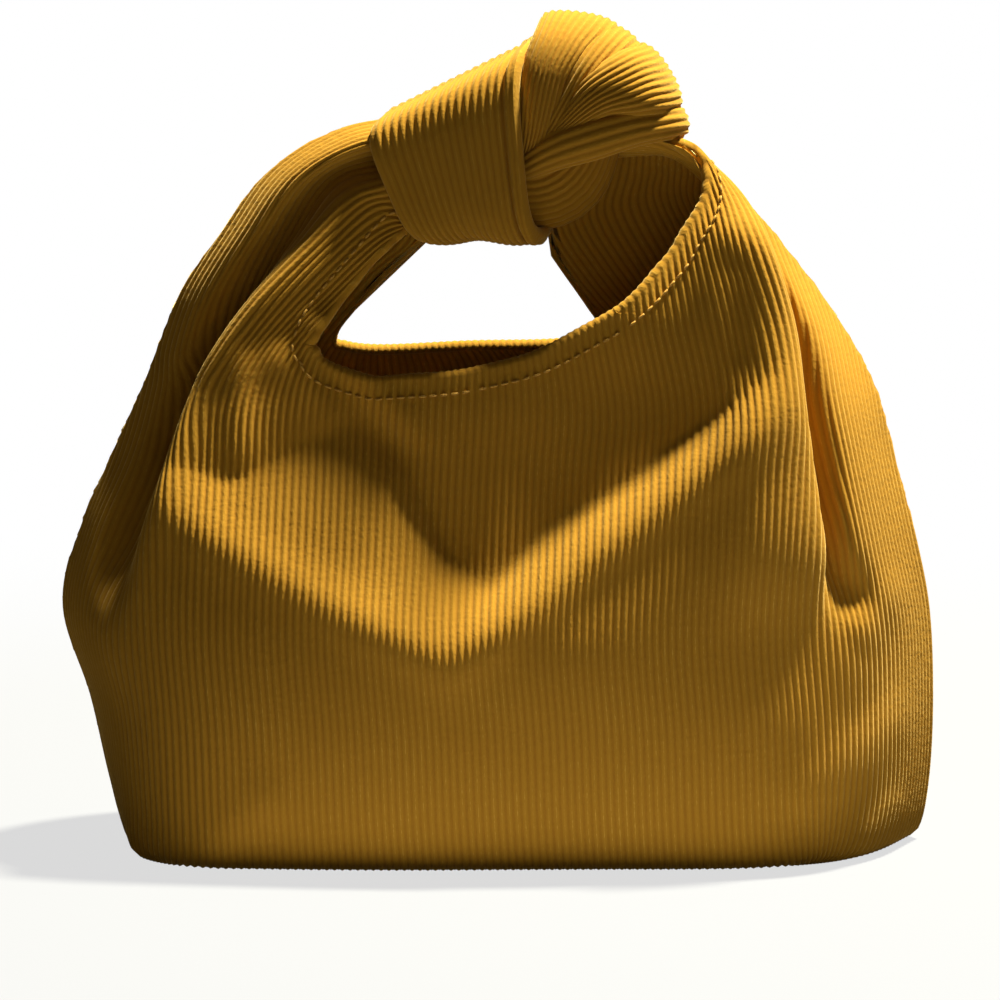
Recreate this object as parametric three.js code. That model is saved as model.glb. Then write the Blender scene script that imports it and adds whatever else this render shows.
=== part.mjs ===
// A knotted pouch clutch in corduroy: a soft lined body with a scooped mouth, and two straps that
// rise from its shoulders and are tied together in one knot, which leaves a loop for the hand.
// Millimetres, +Z up, front towards -Y. The origin is the middle of the base, on the ground.
import * as THREE from "three";

// Cloth layers, each measured through its thickness, the air between two layers, and the air
// where a strap begins and where it leaves the fold at the shoulder
const OUTER_CLOTH = 1.6;
const INTERLINING = 0.6;
const LINING_CLOTH = 1.3;
const LAYER_GAP = 0.3;
const SHOULDER_GAP = 0.8;

// Body: its greatest width, its depth before the drape moves the front, and the height at which its
// two sides reach the knot
const BODY_WIDTH = 258;
const BODY_DEPTH = 97;
const BODY_RISE = 190;
const BASE_CLOTH = 1.6;
const FLOOR_TO_WALL = BASE_CLOTH + 0.4;
const FLOOR_LINING = BASE_CLOTH + LAYER_GAP;

// Sections of the body, drawn for the width, depth and rise below: at each height (x, y) from the left
// side seam to the right one. The front has a deep crease by the left seam and a pleat by the right one.
const DRAWN_WIDTH = 258;
const DRAWN_DEPTH = 97;
const DRAWN_RISE = 190;
const FRONT_SECTIONS = [
  { z: 2, points: [[-110, 5], [-108, -12], [-104, -27], [-96, -35], [-84, -38.5], [-69, -40],
    [-45, -40.5], [-17, -41], [12, -41], [37, -40.5], [62, -39.5], [76, -38],
    [89, -35], [100, -29.5], [113, -16.5], [123, 3]] },
  { z: 20, points: [[-116, 5], [-113, -14], [-108, -29], [-99, -38], [-87, -43.5], [-72, -46.5],
    [-48, -48], [-18, -48.5], [12, -48.5], [38, -48], [64, -46.5], [79, -44.5],
    [93, -40.5], [105, -34], [119, -19], [128.5, 3]] },
  { z: 45, points: [[-121, 4], [-117, -14], [-111, -28], [-103, -37], [-91, -43], [-75, -46.5],
    [-50, -48.5], [-19, -49], [11, -49], [37, -48.5], [63, -47.5], [79, -46],
    [93, -42], [105, -35], [119, -20], [129, 2]] },
  { z: 72, points: [[-129, 3], [-123, -14], [-116, -26], [-108, -33], [-96, -39], [-79, -43.5],
    [-53, -47], [-21, -48], [9, -48], [35, -48], [61, -47.5], [76, -45],
    [92, -40], [104, -34], [118, -20], [128, 2]] },
  { z: 96, points: [[-124, 4], [-118, -9], [-106, -14], [-106, -29.5], [-94, -35], [-78, -38],
    [-52, -40], [-20, -40], [10, -41.5], [36, -44.5], [63, -45.5], [79.5, -45.5],
    [95, -38.5], [99.5, -28.5], [111.5, -24.5], [123.5, 1]] },
  { z: 120, points: [[-114, 4], [-107, -6], [-96, -9.5], [-98.5, -26.5], [-88, -30], [-73, -32],
    [-49, -35], [-19, -35], [11, -35], [36, -37], [62, -40.5], [77, -42],
    [92, -35], [94, -23.5], [104.5, -21.5], [117.5, 1]] },
  { z: 140, points: [[-105, 3], [-98, -6], [-88.5, -7.5], [-91, -21.5], [-82, -25], [-68, -27.5],
    [-46, -32], [-18, -32], [11, -32], [35, -31.5], [59, -35], [74.5, -38],
    [89.5, -32], [90.5, -19.5], [98.5, -17.5], [112, 0]] },
  { z: 156, points: [[-99, 3], [-91.5, -7], [-80.5, -5.5], [-82.5, -19], [-74, -21.5], [-59.5, -22.5],
    [-45, -27], [-18, -27], [11, -27], [36, -29], [58, -31], [73, -32.5],
    [87.5, -26.5], [89, -15], [95.5, -12.5], [103.5, 0]] },
  { z: 172, points: [[-91, 3], [-82, -8.5], [-69, -4], [-70, -16.5], [-62, -18], [-45, -17],
    [-40, -20], [-17, -20], [11, -20], [38, -23], [57.5, -22.5], [71.5, -23.5],
    [82.5, -20.5], [82.5, -11], [87, -6], [92.5, 0.5]] },
];
const BACK_SECTIONS = [
  { z: 2, points: [[-110, 5], [-107, 21], [-84, 36.5], [-63, 39], [-30, 40], [5, 40],
    [40, 39.5], [65, 38.5], [93, 32.5], [114, 18], [123, 3]] },
  { z: 20, points: [[-116, 5], [-113, 24], [-89, 42.5], [-66, 45.5], [-32, 47], [4, 47],
    [41, 46.5], [67, 45], [97, 37.5], [120, 20], [128.5, 3]] },
  { z: 45, points: [[-121, 4], [-117, 25], [-92, 43.5], [-69, 46.5], [-34, 48], [3, 48.5],
    [40, 48], [67, 46], [98, 37.5], [121, 20], [129, 2]] },
  { z: 72, points: [[-129, 3], [-121, 22], [-94, 41], [-71, 45], [-35, 47], [3, 47.5],
    [40, 46.5], [66, 44.5], [96, 36.5], [119.5, 19], [128, 2]] },
  { z: 96, points: [[-124, 4], [-114, 20], [-89, 36], [-68, 40], [-34, 42.5], [2, 43],
    [38, 42.5], [63, 40.5], [91, 32.5], [113, 17], [123.5, 1]] },
  { z: 120, points: [[-114, 4], [-104, 18], [-82, 30], [-63, 33.5], [-32, 35.5], [1, 36],
    [33, 35.5], [57, 34], [84, 27.5], [107, 14.5], [117.5, 1]] },
  { z: 140, points: [[-105, 3], [-96, 15.5], [-76, 25], [-58, 28.5], [-30, 31], [-3, 31.5],
    [22, 31.5], [44, 30.5], [74, 25], [100, 12.5], [112, 0]] },
  { z: 156, points: [[-99, 3], [-89.5, 13.5], [-70.5, 20], [-49, 19], [-28, 21], [-4, 21.5],
    [17.5, 23], [37, 23], [70, 20.5], [93, 11], [103.5, 0]] },
  { z: 172, points: [[-91, 3], [-81.5, 10.5], [-62, 14.5], [-36, 11.5], [-18, 12], [-3, 12.5],
    [14, 16.5], [31, 17], [62, 17], [83, 9.5], [92.5, 0.5]] },
];

// Drape of the front: the cloth hangs from both straps into a V. The V's point, how round it is, the
// slopes of its arms and the swell along it; then the hollow over it, with its height above the V at
// places across the bag. The drape dies out towards the sides, the seams and the straps.
const DRAPE = { x: -14, z: 64, roundness: 4, leftSlope: 0.44, rightSlope: 0.74, swell: 2, swellWidth: 8.5 };
const HOLLOW = { depth: 8, fade: 60, softness: 0.07 };
const HOLLOW_PLACES = [-95, -77, -59, -40, -26, -14, -4, 13, 37, 75];
const HOLLOW_HEIGHTS = [28, 35, 42, 50, 46, 28, 16, 17, 14, 15];
const DRAPE_LEFT = { none: -115, full: -65 };
const DRAPE_RIGHT = { full: 50, none: 95 };
const DRAPE_TOP = { full: 140, none: 185 };
const DRAPE_SEAM = { none: 0.02, full: 0.12 };

// Mouth: heights of its low middle and of the two shoulders where the handle folds, the places across
// the bag where each scoop begins and ends, and the shares of the way across that hold them all
const MOUTH_LOW = 147;
const LEFT_FOLD_HEIGHT = 158;
const RIGHT_FOLD_HEIGHT = 178;
const FOLD_REACH = 10;
const FRONT_SCOOP = { leftEdge: -57, leftFlat: -40, rightFlat: -8, rightEdge: 41 };
const BACK_SCOOP = { leftEdge: -51, leftFlat: -38, rightFlat: 4, rightEdge: 32 };
const MOUTH_REACH = { low: 0.2, high: 0.8 };
const STITCH_INSET = 5;
const THREAD_RADIUS = 0.45;
const THREAD_LIFT = 0.55;

// Knot: a wide wrap round the strand of the left strap, and a fan of folds on its right. A section
// across the strand is rounder at a squareness of 2, and each fold is narrower at its two ends.
const KNOT_OFFSET = -7.3;
const KNOT_HEIGHT = 208.5;
const KNOT_TILT = THREE.MathUtils.degToRad(13);
const WRAP_LENGTH = 38;
const WRAP_LEFT = { halfHeight: 19, halfDepth: 16 };
const WRAP_RIGHT = { halfHeight: 26.5, halfDepth: 20 };
const WRAP_CLOTH = 2.6;
const WRAP_SLIDE = 8;
const STRAND_CLEARANCE = 0.5;
const STRAND_OVERHANG = 2;
const SECTION_SQUARENESS = 2.6;
const FOLD_GAP = 0.4;
const FAN_DROP = 4;
const FAN_HOLLOW = 8;
const FAN_REACH = 48;
const FAN_HALF_DEPTH = 19;
const FOLD_END_DEPTH = 0.82;
const FOLD_END_REACH = 0.982;
const FOLD_FULLNESS = 0.6;

// Folds of the fan: where each begins and ends, in degrees up from level, and its own reach and
// depth as shares of the fan's
const FAN_FOLDS = [
  { name: "knot_fold_low", from: 9, to: 22, reach: 0.96, depth: 0.8 },
  { name: "knot_fold_middle", from: 22, to: 68, reach: 1, depth: 1 },
  { name: "knot_fold_top", from: 68, to: 103, reach: 0.93, depth: 0.95 },
];

// Straps: half height and half depth of the section that enters the knot, how far its cloth
// turns towards the front and back rims, and how far it runs straight on before it bends
const LEFT_ENTRY = { halfHeight: 16, halfDepth: 11, frontTurn: 144, backTurn: 138 };
const RIGHT_ENTRY = { halfHeight: 20.5, halfDepth: 12, frontTurn: 45, backTurn: 165 };
const RIGHT_ENTRY_REACH = 23.5;
const STRAP_RUN_OUT = 16;

// Facets, and the number of halvings in a search
const PANEL_COLUMNS = 30;
const PANEL_ROWS = 16;
const STRAP_COLUMNS = 14;
const STRAP_ROWS = 8;
const ROOT_ROWS = 3;
const BASE_SIDES = 48;
const STITCH_STEPS = 36;
const THREAD_SIDES = 6;
const WRAP_SIDES = 24;
const FOLD_STEPS = 5;
const HALVINGS = 40;

const corduroy = new THREE.MeshStandardMaterial({ color: 0xa9761d, roughness: 0.95, metalness: 0 });
const liningCorduroy = new THREE.MeshStandardMaterial({ color: 0x9a6a19, roughness: 0.95, metalness: 0 });
const fleece = new THREE.MeshStandardMaterial({ color: 0xe6dfcf, roughness: 1, metalness: 0 });
const thread = new THREE.MeshStandardMaterial({ color: 0xc2953f, roughness: 0.7, metalness: 0 });

const { clamp, lerp, smoothstep } = THREE.MathUtils;

const widthScale = BODY_WIDTH / DRAWN_WIDTH;
const depthScale = BODY_DEPTH / DRAWN_DEPTH;
const riseScale = BODY_RISE / DRAWN_RISE;

// Value at a place on a smooth curve through values at rising knots.
function smoothCurve(knots, valueAt, place) {
  const last = knots.length - 2;
  let i = 0;
  while (i < last && place > knots[i + 1]) i += 1;
  const before = Math.max(i - 1, 0);
  const after = Math.min(i + 2, last + 1);
  const span = knots[i + 1] - knots[i];
  const valueA = valueAt(i);
  const valueB = valueAt(i + 1);
  const slopeA = ((valueB - valueAt(before)) / (knots[i + 1] - knots[before])) * span;
  const slopeB = ((valueAt(after) - valueA) / (knots[after] - knots[i])) * span;
  const t = (place - knots[i]) / span;
  const t2 = t * t;
  const t3 = t2 * t;
  return valueA * (2 * t3 - 3 * t2 + 1) + slopeA * (t3 - 2 * t2 + t)
    + valueB * (3 * t2 - 2 * t3) + slopeB * (t3 - t2);
}

// How far the drape moves the front back, at a place drawn on it.
function drapeDepth(x, z, across) {
  const left = DRAPE.leftSlope * (DRAPE.x - x);
  const right = DRAPE.rightSlope * (x - DRAPE.x);
  const round = DRAPE.roundness;
  const over = z - DRAPE.z - round * Math.log(Math.exp(left / round) + Math.exp(right / round));
  const place = clamp(x, HOLLOW_PLACES[0], HOLLOW_PLACES[HOLLOW_PLACES.length - 1]);
  const height = smoothCurve(HOLLOW_PLACES, (i) => HOLLOW_HEIGHTS[i], place);
  const under = Math.max(over / height, 0) ** 2;
  const above = Math.exp((height - over) / HOLLOW.fade);
  const soft = HOLLOW.softness;
  const hollow = -soft * Math.log(Math.exp(-under / soft) + Math.exp(-above / soft));
  const upward = 1 - smoothstep(z, DRAPE_TOP.full, DRAPE_TOP.none);
  const sides = smoothstep(x, DRAPE_LEFT.none, DRAPE_LEFT.full)
    * (1 - smoothstep(x, DRAPE_RIGHT.full, DRAPE_RIGHT.none))
    * smoothstep(Math.min(across, 1 - across), DRAPE_SEAM.none, DRAPE_SEAM.full);
  const swell = DRAPE.swell * Math.exp(-((over / DRAPE.swellWidth) ** 2));
  return sides * (HOLLOW.depth * hollow * upward - swell);
}

// Point of the body's outer surface: across runs from 0 at the right side seam to 1 at the left one.
// The front and back halves stop short of each other by the gap between two layers.
function bodyPoint(across, z, face) {
  const sections = face < 0 ? FRONT_SECTIONS : BACK_SECTIONS;
  const heights = sections.map((section) => section.z);
  const drawnZ = z / riseScale;
  const columns = sections[0].points.map((_, i) => i);
  const place = (1 - across) * (columns.length - 1);
  const [x, y] = [0, 1].map((axis) => smoothCurve(columns, (column) => smoothCurve(
    heights, (level) => sections[level].points[column][axis], drawnZ,
  ), place));
  const drape = face < 0 ? drapeDepth(x, drawnZ, across) : 0;
  return new THREE.Vector3(x * widthScale, (y + drape) * depthScale + (face * LAYER_GAP) / 2, z);
}

// Share of the way across at which the body's section at a height passes a place within the mouth.
function acrossAt(x, z, face) {
  let { low, high } = MOUTH_REACH;
  for (let i = 0; i < HALVINGS; i += 1) {
    const middle = (low + high) / 2;
    if (bodyPoint(middle, z, face).x > x) low = middle;
    else high = middle;
  }
  return (low + high) / 2;
}

const leftCut = LEFT_FOLD_HEIGHT - FOLD_REACH;
const rightCut = RIGHT_FOLD_HEIGHT - FOLD_REACH;

// Height of a panel's upper edge: the shoulder cuts at the sides and the scooped mouth between.
function upperEdge(x, scoop) {
  const left = lerp(leftCut, MOUTH_LOW, smoothstep(x, scoop.leftEdge, scoop.leftFlat));
  const right = lerp(MOUTH_LOW, rightCut, smoothstep(x, scoop.rightFlat, scoop.rightEdge));
  return x < scoop.leftFlat ? left : right;
}

// Marks a surface whose two side edges are seams, where it meets its other half square.
const seamed = (surface) => Object.assign(surface, { isSeamed: true });

// Surface of a panel: across runs 0 to 1 from the right side seam to the left one, up from the base.
function panelSurface(face, scoop) {
  return seamed((across, up) => {
    const place = bodyPoint(across, MOUTH_LOW, face).x;
    return bodyPoint(across, lerp(FLOOR_TO_WALL, upperEdge(place, scoop), up), face);
  });
}

// Unit normal of a surface, from two short steps on it.
function surfaceNormal(surface, s, t) {
  const step = 1e-3;
  const point = surface(s, t);
  const alongS = surface(clamp(s + step, 0, 1), t).sub(surface(clamp(s - step, 0, 1), t));
  const alongT = surface(s, clamp(t + step, 0, 1)).sub(surface(s, clamp(t - step, 0, 1)));
  const normal = alongS.cross(alongT);
  if (surface.isSeamed && (s === 0 || s === 1)) normal.setY(0);
  return { point, normal: normal.normalize() };
}

// Closed geometry from points and quads, turned to face outwards.
function closedGeometry(points, quads) {
  const index = quads.flatMap(([a, b, c, d]) => (d === undefined ? [a, b, c] : [a, b, c, a, c, d]));
  let volume = 0;
  for (let i = 0; i < index.length; i += 3) {
    const [a, b, c] = [points[index[i]], points[index[i + 1]], points[index[i + 2]]];
    volume += a.dot(b.clone().cross(c));
  }
  if (volume < 0) index.reverse();
  const geometry = new THREE.BufferGeometry().setFromPoints(points);
  geometry.setIndex(index);
  return geometry;
}

// Layer of cloth between two depths under a surface, over a part of its rise from start to stop.
// Inward is 1 or -1 along the surface's normal. Its foot is cut level, and its top too where asked.
function clothLayer(surface, inward, [near, far], { columns, rows, start = 0, stop = 1, levelTop = true }) {
  const points = [];
  for (const depth of [near, far]) {
    for (let j = 0; j <= rows; j += 1) {
      for (let i = 0; i <= columns; i += 1) {
        const { point, normal } = surfaceNormal(surface, i / columns, lerp(start, stop, j / rows));
        if (j === 0 || (levelTop && j === rows)) normal.setZ(0).normalize();
        points.push(point.addScaledVector(normal, inward * depth));
      }
    }
  }
  const row = columns + 1;
  const sheet = row * (rows + 1);
  const quads = [];
  for (let j = 0; j < rows; j += 1) {
    for (let i = 0; i < columns; i += 1) {
      const a = j * row + i;
      quads.push([a, a + 1, a + row + 1, a + row]);
      quads.push([a + sheet, a + row + sheet, a + row + 1 + sheet, a + 1 + sheet]);
    }
  }
  const edge = [];
  for (let i = 0; i < columns; i += 1) edge.push(i);
  for (let j = 0; j < rows; j += 1) edge.push(j * row + columns);
  for (let i = columns; i > 0; i -= 1) edge.push(rows * row + i);
  for (let j = rows; j > 0; j -= 1) edge.push(j * row);
  edge.forEach((a, k) => {
    const b = edge[(k + 1) % edge.length];
    quads.push([b, a, a + sheet, b + sheet]);
  });
  return closedGeometry(points, quads);
}

// Solid through rings of equal length, closed at both ends.
function ringSolid(rings) {
  const sides = rings[0].length;
  const points = rings.flat();
  const quads = [];
  for (let j = 0; j + 1 < rings.length; j += 1) {
    for (let i = 0; i < sides; i += 1) {
      const k = (i + 1) % sides;
      quads.push([j * sides + i, j * sides + k, (j + 1) * sides + k, (j + 1) * sides + i]);
    }
  }
  const end = (rings.length - 1) * sides;
  const middle = (ring) => ring.reduce((sum, p) => sum.add(p), new THREE.Vector3()).divideScalar(sides);
  points.push(middle(rings[0]), middle(rings[rings.length - 1]));
  for (let i = 0; i < sides; i += 1) {
    const k = (i + 1) % sides;
    quads.push([k, i, points.length - 2]);
    quads.push([end + i, end + k, points.length - 1]);
  }
  return closedGeometry(points, quads);
}

function piece(name, geometry, material) {
  const mesh = new THREE.Mesh(geometry, material);
  mesh.name = name;
  return mesh;
}

// The three layers of a wall, counted inwards from the outer face
const interliningFrom = OUTER_CLOTH + LAYER_GAP;
const liningFrom = interliningFrom + INTERLINING + LAYER_GAP;
const wallDepth = liningFrom + LINING_CLOTH;

// Front and back walls, each of an outer panel, an interlining, a lining and its rim stitching.
function wall(side, face, scoop) {
  const group = new THREE.Group();
  const surface = panelSurface(face, scoop);
  const facets = { columns: PANEL_COLUMNS, rows: PANEL_ROWS };
  const layer = (near, far) => clothLayer(surface, -face, [near, far], facets);
  group.add(
    piece(`outer_${side}_panel`, layer(0, OUTER_CLOTH), corduroy),
    piece(`${side}_interlining`, layer(interliningFrom, interliningFrom + INTERLINING), fleece),
    piece(`lining_${side}_panel`, layer(liningFrom, wallDepth), liningCorduroy),
    piece(`${side}_rim_stitching`, rimStitching(surface, face, scoop), thread),
  );
  return group;
}

// Line of thread that lies on a panel, a fixed way below its scooped edge.
function rimStitching(surface, face, scoop) {
  const from = acrossAt(scoop.rightEdge, MOUTH_LOW, face);
  const to = acrossAt(scoop.leftEdge, MOUTH_LOW, face);
  const points = [];
  for (let i = 0; i <= STITCH_STEPS; i += 1) {
    const across = lerp(from, to, i / STITCH_STEPS);
    const height = surface(across, 1).z - FLOOR_TO_WALL;
    const { point, normal } = surfaceNormal(surface, across, 1 - STITCH_INSET / height);
    points.push(point.addScaledVector(normal, face * (THREAD_RADIUS + THREAD_LIFT)));
  }
  const path = new THREE.CatmullRomCurve3(points);
  const section = new THREE.Shape().absarc(0, 0, THREAD_RADIUS, 0, 2 * Math.PI);
  return new THREE.ExtrudeGeometry(section, {
    steps: STITCH_STEPS, extrudePath: path, curveSegments: THREAD_SIDES, bevelEnabled: false,
  });
}

// Flat plate in the shape of the body's foot, set in from the outer face.
function footPlate(inset, bottom, thickness) {
  const half = BASE_SIDES / 2;
  const outline = [];
  for (const face of [-1, 1]) {
    const surface = seamed((across, up) => bodyPoint(across, FLOOR_TO_WALL + up, face));
    for (let i = 0; i <= half; i += 1) {
      const { point, normal } = surfaceNormal(surface, face < 0 ? i / half : 1 - i / half, 0);
      outline.push(point.addScaledVector(normal.setZ(0).normalize(), -face * inset));
    }
  }
  const ring = (z) => outline.map((point) => point.clone().setZ(z));
  return ringSolid([ring(bottom), ring(bottom + thickness)]);
}

// Frame of the knot: along its strand, and up across it
const along = new THREE.Vector3(Math.cos(KNOT_TILT), 0, Math.sin(KNOT_TILT));
const acrossKnot = new THREE.Vector3(-Math.sin(KNOT_TILT), 0, Math.cos(KNOT_TILT));
const depthwise = new THREE.Vector3(0, 1, 0);
const knotCentre = new THREE.Vector3(KNOT_OFFSET, 0, KNOT_HEIGHT);
const knotPoint = (u, w, y) => knotCentre.clone()
  .addScaledVector(along, u).addScaledVector(acrossKnot, w).addScaledVector(depthwise, y);

// Rounded section across the knot's strand.
function knotRing(u, halfHeight, halfDepth) {
  return Array.from({ length: WRAP_SIDES }, (_, i) => {
    const turn = (2 * Math.PI * i) / WRAP_SIDES;
    const power = 2 / SECTION_SQUARENESS;
    const c = Math.cos(turn);
    const s = Math.sin(turn);
    return knotPoint(u, Math.sign(c) * halfHeight * Math.abs(c) ** power,
      Math.sign(s) * halfDepth * Math.abs(s) ** power);
  });
}

const wrapEnd = WRAP_LENGTH / 2;
const strandHalfHeight = WRAP_LEFT.halfHeight - WRAP_CLOTH - STRAND_CLEARANCE;
const strandHalfDepth = WRAP_LEFT.halfDepth - WRAP_CLOTH - STRAND_CLEARANCE;
const strandStart = -wrapEnd - WRAP_SLIDE - STRAND_OVERHANG;

// Band that goes round the strand, wider at the fan than where the left strap enters.
function knotWrap() {
  const outer = [];
  const inner = [];
  for (const end of [-1, 0, 1]) {
    const share = (end + 1) / 2;
    const halfHeight = lerp(WRAP_LEFT.halfHeight, WRAP_RIGHT.halfHeight, share);
    const halfDepth = lerp(WRAP_LEFT.halfDepth, WRAP_RIGHT.halfDepth, share);
    outer.push(knotRing(end * wrapEnd, halfHeight, halfDepth));
    inner.push(knotRing(end * wrapEnd, halfHeight - WRAP_CLOTH, halfDepth - WRAP_CLOTH));
  }
  const rings = [...outer, ...inner.reverse()];
  const quads = [];
  rings.forEach((ring, j) => {
    const next = ((j + 1) % rings.length) * WRAP_SIDES;
    ring.forEach((_, i) => {
      const k = (i + 1) % WRAP_SIDES;
      quads.push([j * WRAP_SIDES + i, j * WRAP_SIDES + k, next + k, next + i]);
    });
  });
  return closedGeometry(rings.flat(), quads);
}

function knotStrand() {
  const ring = (u) => knotRing(u, strandHalfHeight, strandHalfDepth);
  return ringSolid([ring(strandStart), ring(wrapEnd)]);
}

// Middle of the fan, beside the wrap, and a direction out from it at an angle up from level.
const fanMiddle = knotPoint(wrapEnd + FOLD_GAP, -FAN_DROP, 0);
const fanOutward = (turn) => new THREE.Vector3(Math.cos(turn), 0, Math.sin(turn));
const fanSideways = (turn) => new THREE.Vector3(-Math.sin(turn), 0, Math.cos(turn));

// One fold of the fan: rounded sections that turn about the fan's middle.
function fanFold({ from, to, reach, depth }) {
  const rings = [];
  const half = FOLD_GAP / 2;
  for (let j = 0; j <= FOLD_STEPS; j += 1) {
    const share = j / FOLD_STEPS;
    const turn = THREE.MathUtils.degToRad(lerp(from, to, share));
    const swell = Math.sin(Math.PI * share) ** FOLD_FULLNESS;
    const halfDepth = FAN_HALF_DEPTH * depth * lerp(FOLD_END_DEPTH, 1, swell);
    const length = (FAN_REACH * reach * lerp(FOLD_END_REACH, 1, swell) - FAN_HOLLOW) / 2;
    rings.push(Array.from({ length: WRAP_SIDES }, (_, i) => {
      const angle = (2 * Math.PI * i) / WRAP_SIDES;
      return fanMiddle.clone()
        .addScaledVector(fanOutward(turn), FAN_HOLLOW + length * (1 + Math.cos(angle)))
        .addScaledVector(fanSideways(turn), lerp(half, -half, share))
        .addScaledVector(depthwise, halfDepth * Math.sin(angle));
    }));
  }
  return ringSolid(rings);
}

// Section of a strap where it enters the knot: an open fold of cloth, from front rim to back rim.
function entryPoint(share, centre, up, { halfHeight, halfDepth, frontTurn, backTurn }) {
  const turn = THREE.MathUtils.degToRad(share < 0 ? share * frontTurn : share * backTurn);
  return centre.clone().addScaledVector(up, halfHeight * Math.cos(turn))
    .addScaledVector(depthwise, halfDepth * Math.sin(turn));
}

// Surface of a strap: across runs 0 to 1 from its front rim over its outer side to its back rim,
// up from the shoulder cut to the knot.
function strapSurface(isLeft) {
  const cut = isLeft ? leftCut : rightCut;
  const seam = isLeft ? 1 : 0;
  const edge = isLeft ? "leftEdge" : "rightEdge";
  const frontRim = acrossAt(FRONT_SCOOP[edge], MOUTH_LOW, -1);
  const backRim = acrossAt(BACK_SCOOP[edge], MOUTH_LOW, 1);
  const lowest = THREE.MathUtils.degToRad(FAN_FOLDS[0].from);
  const up = isLeft ? acrossKnot : fanOutward(lowest);
  const into = isLeft ? along : fanSideways(lowest);
  const centre = isLeft
    ? knotPoint(strandStart - LAYER_GAP, 0, 0)
    : fanMiddle.clone().addScaledVector(up, RIGHT_ENTRY_REACH).addScaledVector(into, -LAYER_GAP);
  const entry = isLeft ? LEFT_ENTRY : RIGHT_ENTRY;
  return (across, t) => {
    const share = 2 * across - 1;
    const face = share < 0 ? -1 : 1;
    const place = lerp(seam, face < 0 ? frontRim : backRim, Math.abs(share));
    const start = bodyPoint(place, cut, face);
    const rise = bodyPoint(place, cut + 1, face).sub(start).normalize();
    const end = entryPoint(share, centre, up, entry);
    const curve = new THREE.CubicBezierCurve3(
      start, start.clone().addScaledVector(rise, STRAP_RUN_OUT),
      end.clone().addScaledVector(into, -STRAP_RUN_OUT), end,
    );
    return curve.getPoint(t);
  };
}

// Share of a strap's run that the soft fold at the shoulder takes up.
function foldShare(surface) {
  return (2 * FOLD_REACH) / surface(0.5, 0).distanceTo(surface(0.5, 1));
}

// Strap in two lengths, the fold at the shoulder and the strap above it, each of outer cloth and lining.
function strap(side) {
  const isLeft = side === "left";
  const surface = strapSurface(isLeft);
  const inward = isLeft ? 1 : -1;
  const share = foldShare(surface);
  const gap = SHOULDER_GAP / surface(0.5, 0).distanceTo(surface(0.5, 1));
  const liningTo = interliningFrom + LINING_CLOTH;
  const columns = STRAP_COLUMNS;
  const layers = (name, part) => [
    piece(name, clothLayer(surface, inward, [0, OUTER_CLOTH], part), corduroy),
    piece(`${name}_lining`, clothLayer(surface, inward, [interliningFrom, liningTo], part), liningCorduroy),
  ];
  return {
    fold: layers(`${side}_strap_fold`, { columns, rows: ROOT_ROWS, start: gap, stop: share }),
    strap: layers(`${side}_strap`, { columns, rows: STRAP_ROWS, start: share + gap, levelTop: false }),
  };
}

const leftStrap = strap("left");
const rightStrap = strap("right");

const pouch = new THREE.Group();
pouch.add(
  piece("base_panel", footPlate(0, 0, BASE_CLOTH), corduroy),
  piece("base_lining", footPlate(wallDepth + LAYER_GAP, FLOOR_LINING, LINING_CLOTH), liningCorduroy),
  wall("back", 1, BACK_SCOOP),
  ...leftStrap.fold,
  ...rightStrap.fold,
);

const handle = new THREE.Group();
handle.add(
  ...leftStrap.strap,
  ...rightStrap.strap,
  piece("knot_strand", knotStrand(), corduroy),
  piece("knot_wrap", knotWrap(), corduroy),
  ...FAN_FOLDS.map((fold) => piece(fold.name, fanFold(fold), corduroy)),
);

const clutch = new THREE.Group();
clutch.add(pouch, wall("front", -1, FRONT_SCOOP), handle);

export default clutch;
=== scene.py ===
import math

import bmesh
import bpy
import numpy as np
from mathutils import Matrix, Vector


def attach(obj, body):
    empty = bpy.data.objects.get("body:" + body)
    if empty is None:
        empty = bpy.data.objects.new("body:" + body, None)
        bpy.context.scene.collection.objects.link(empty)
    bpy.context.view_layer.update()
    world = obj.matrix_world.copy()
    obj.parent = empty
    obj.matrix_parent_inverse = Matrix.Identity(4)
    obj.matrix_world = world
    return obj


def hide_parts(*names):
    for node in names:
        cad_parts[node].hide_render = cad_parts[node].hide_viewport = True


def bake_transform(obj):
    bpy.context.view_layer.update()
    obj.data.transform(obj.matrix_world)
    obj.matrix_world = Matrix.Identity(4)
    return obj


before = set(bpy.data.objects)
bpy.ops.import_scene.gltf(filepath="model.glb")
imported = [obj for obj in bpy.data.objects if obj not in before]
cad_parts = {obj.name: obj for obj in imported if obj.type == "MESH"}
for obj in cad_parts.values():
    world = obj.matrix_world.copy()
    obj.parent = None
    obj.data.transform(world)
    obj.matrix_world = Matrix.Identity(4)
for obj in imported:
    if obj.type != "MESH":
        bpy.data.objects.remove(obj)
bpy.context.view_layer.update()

# Lengths are in millimetres until a mesh is made.
MM = 0.001

# Cloth: a wale is one rib of the corduroy.
WALE_PITCH = 2.31
WALE_HEIGHT = 0.55
WALE_ROUNDNESS = 1.8
# Share of a wale's height that is pressed flat at the mouth's edge, and how far down from it.
RIM_FLATTENING = 0.6
RIM_FLATTENED = 6.0
FINE_PHASES = (0.0, 0.1, 0.28, 0.5, 0.72, 0.9)
PLAIN_PHASES = (0.0, 0.2, 0.5, 0.8)
FELT_PHASES = (0.0, 0.5)
OUTER_CLOTH = 1.6
LINING_CLOTH = 1.3
RIM_RADIUS = 1.75
ROLL_STEPS = 7
LINING_DEPTH = 2 * RIM_RADIUS
FELT_DEPTH = (1.75, 2.1)
# Rib height that shades plain cloth, and how close a column may come to a piece's end or to a groove.
PLAIN_RIB = 0.6
EDGE_CLEARANCE = 0.08
GROOVE_SHARE = 0.02
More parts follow.
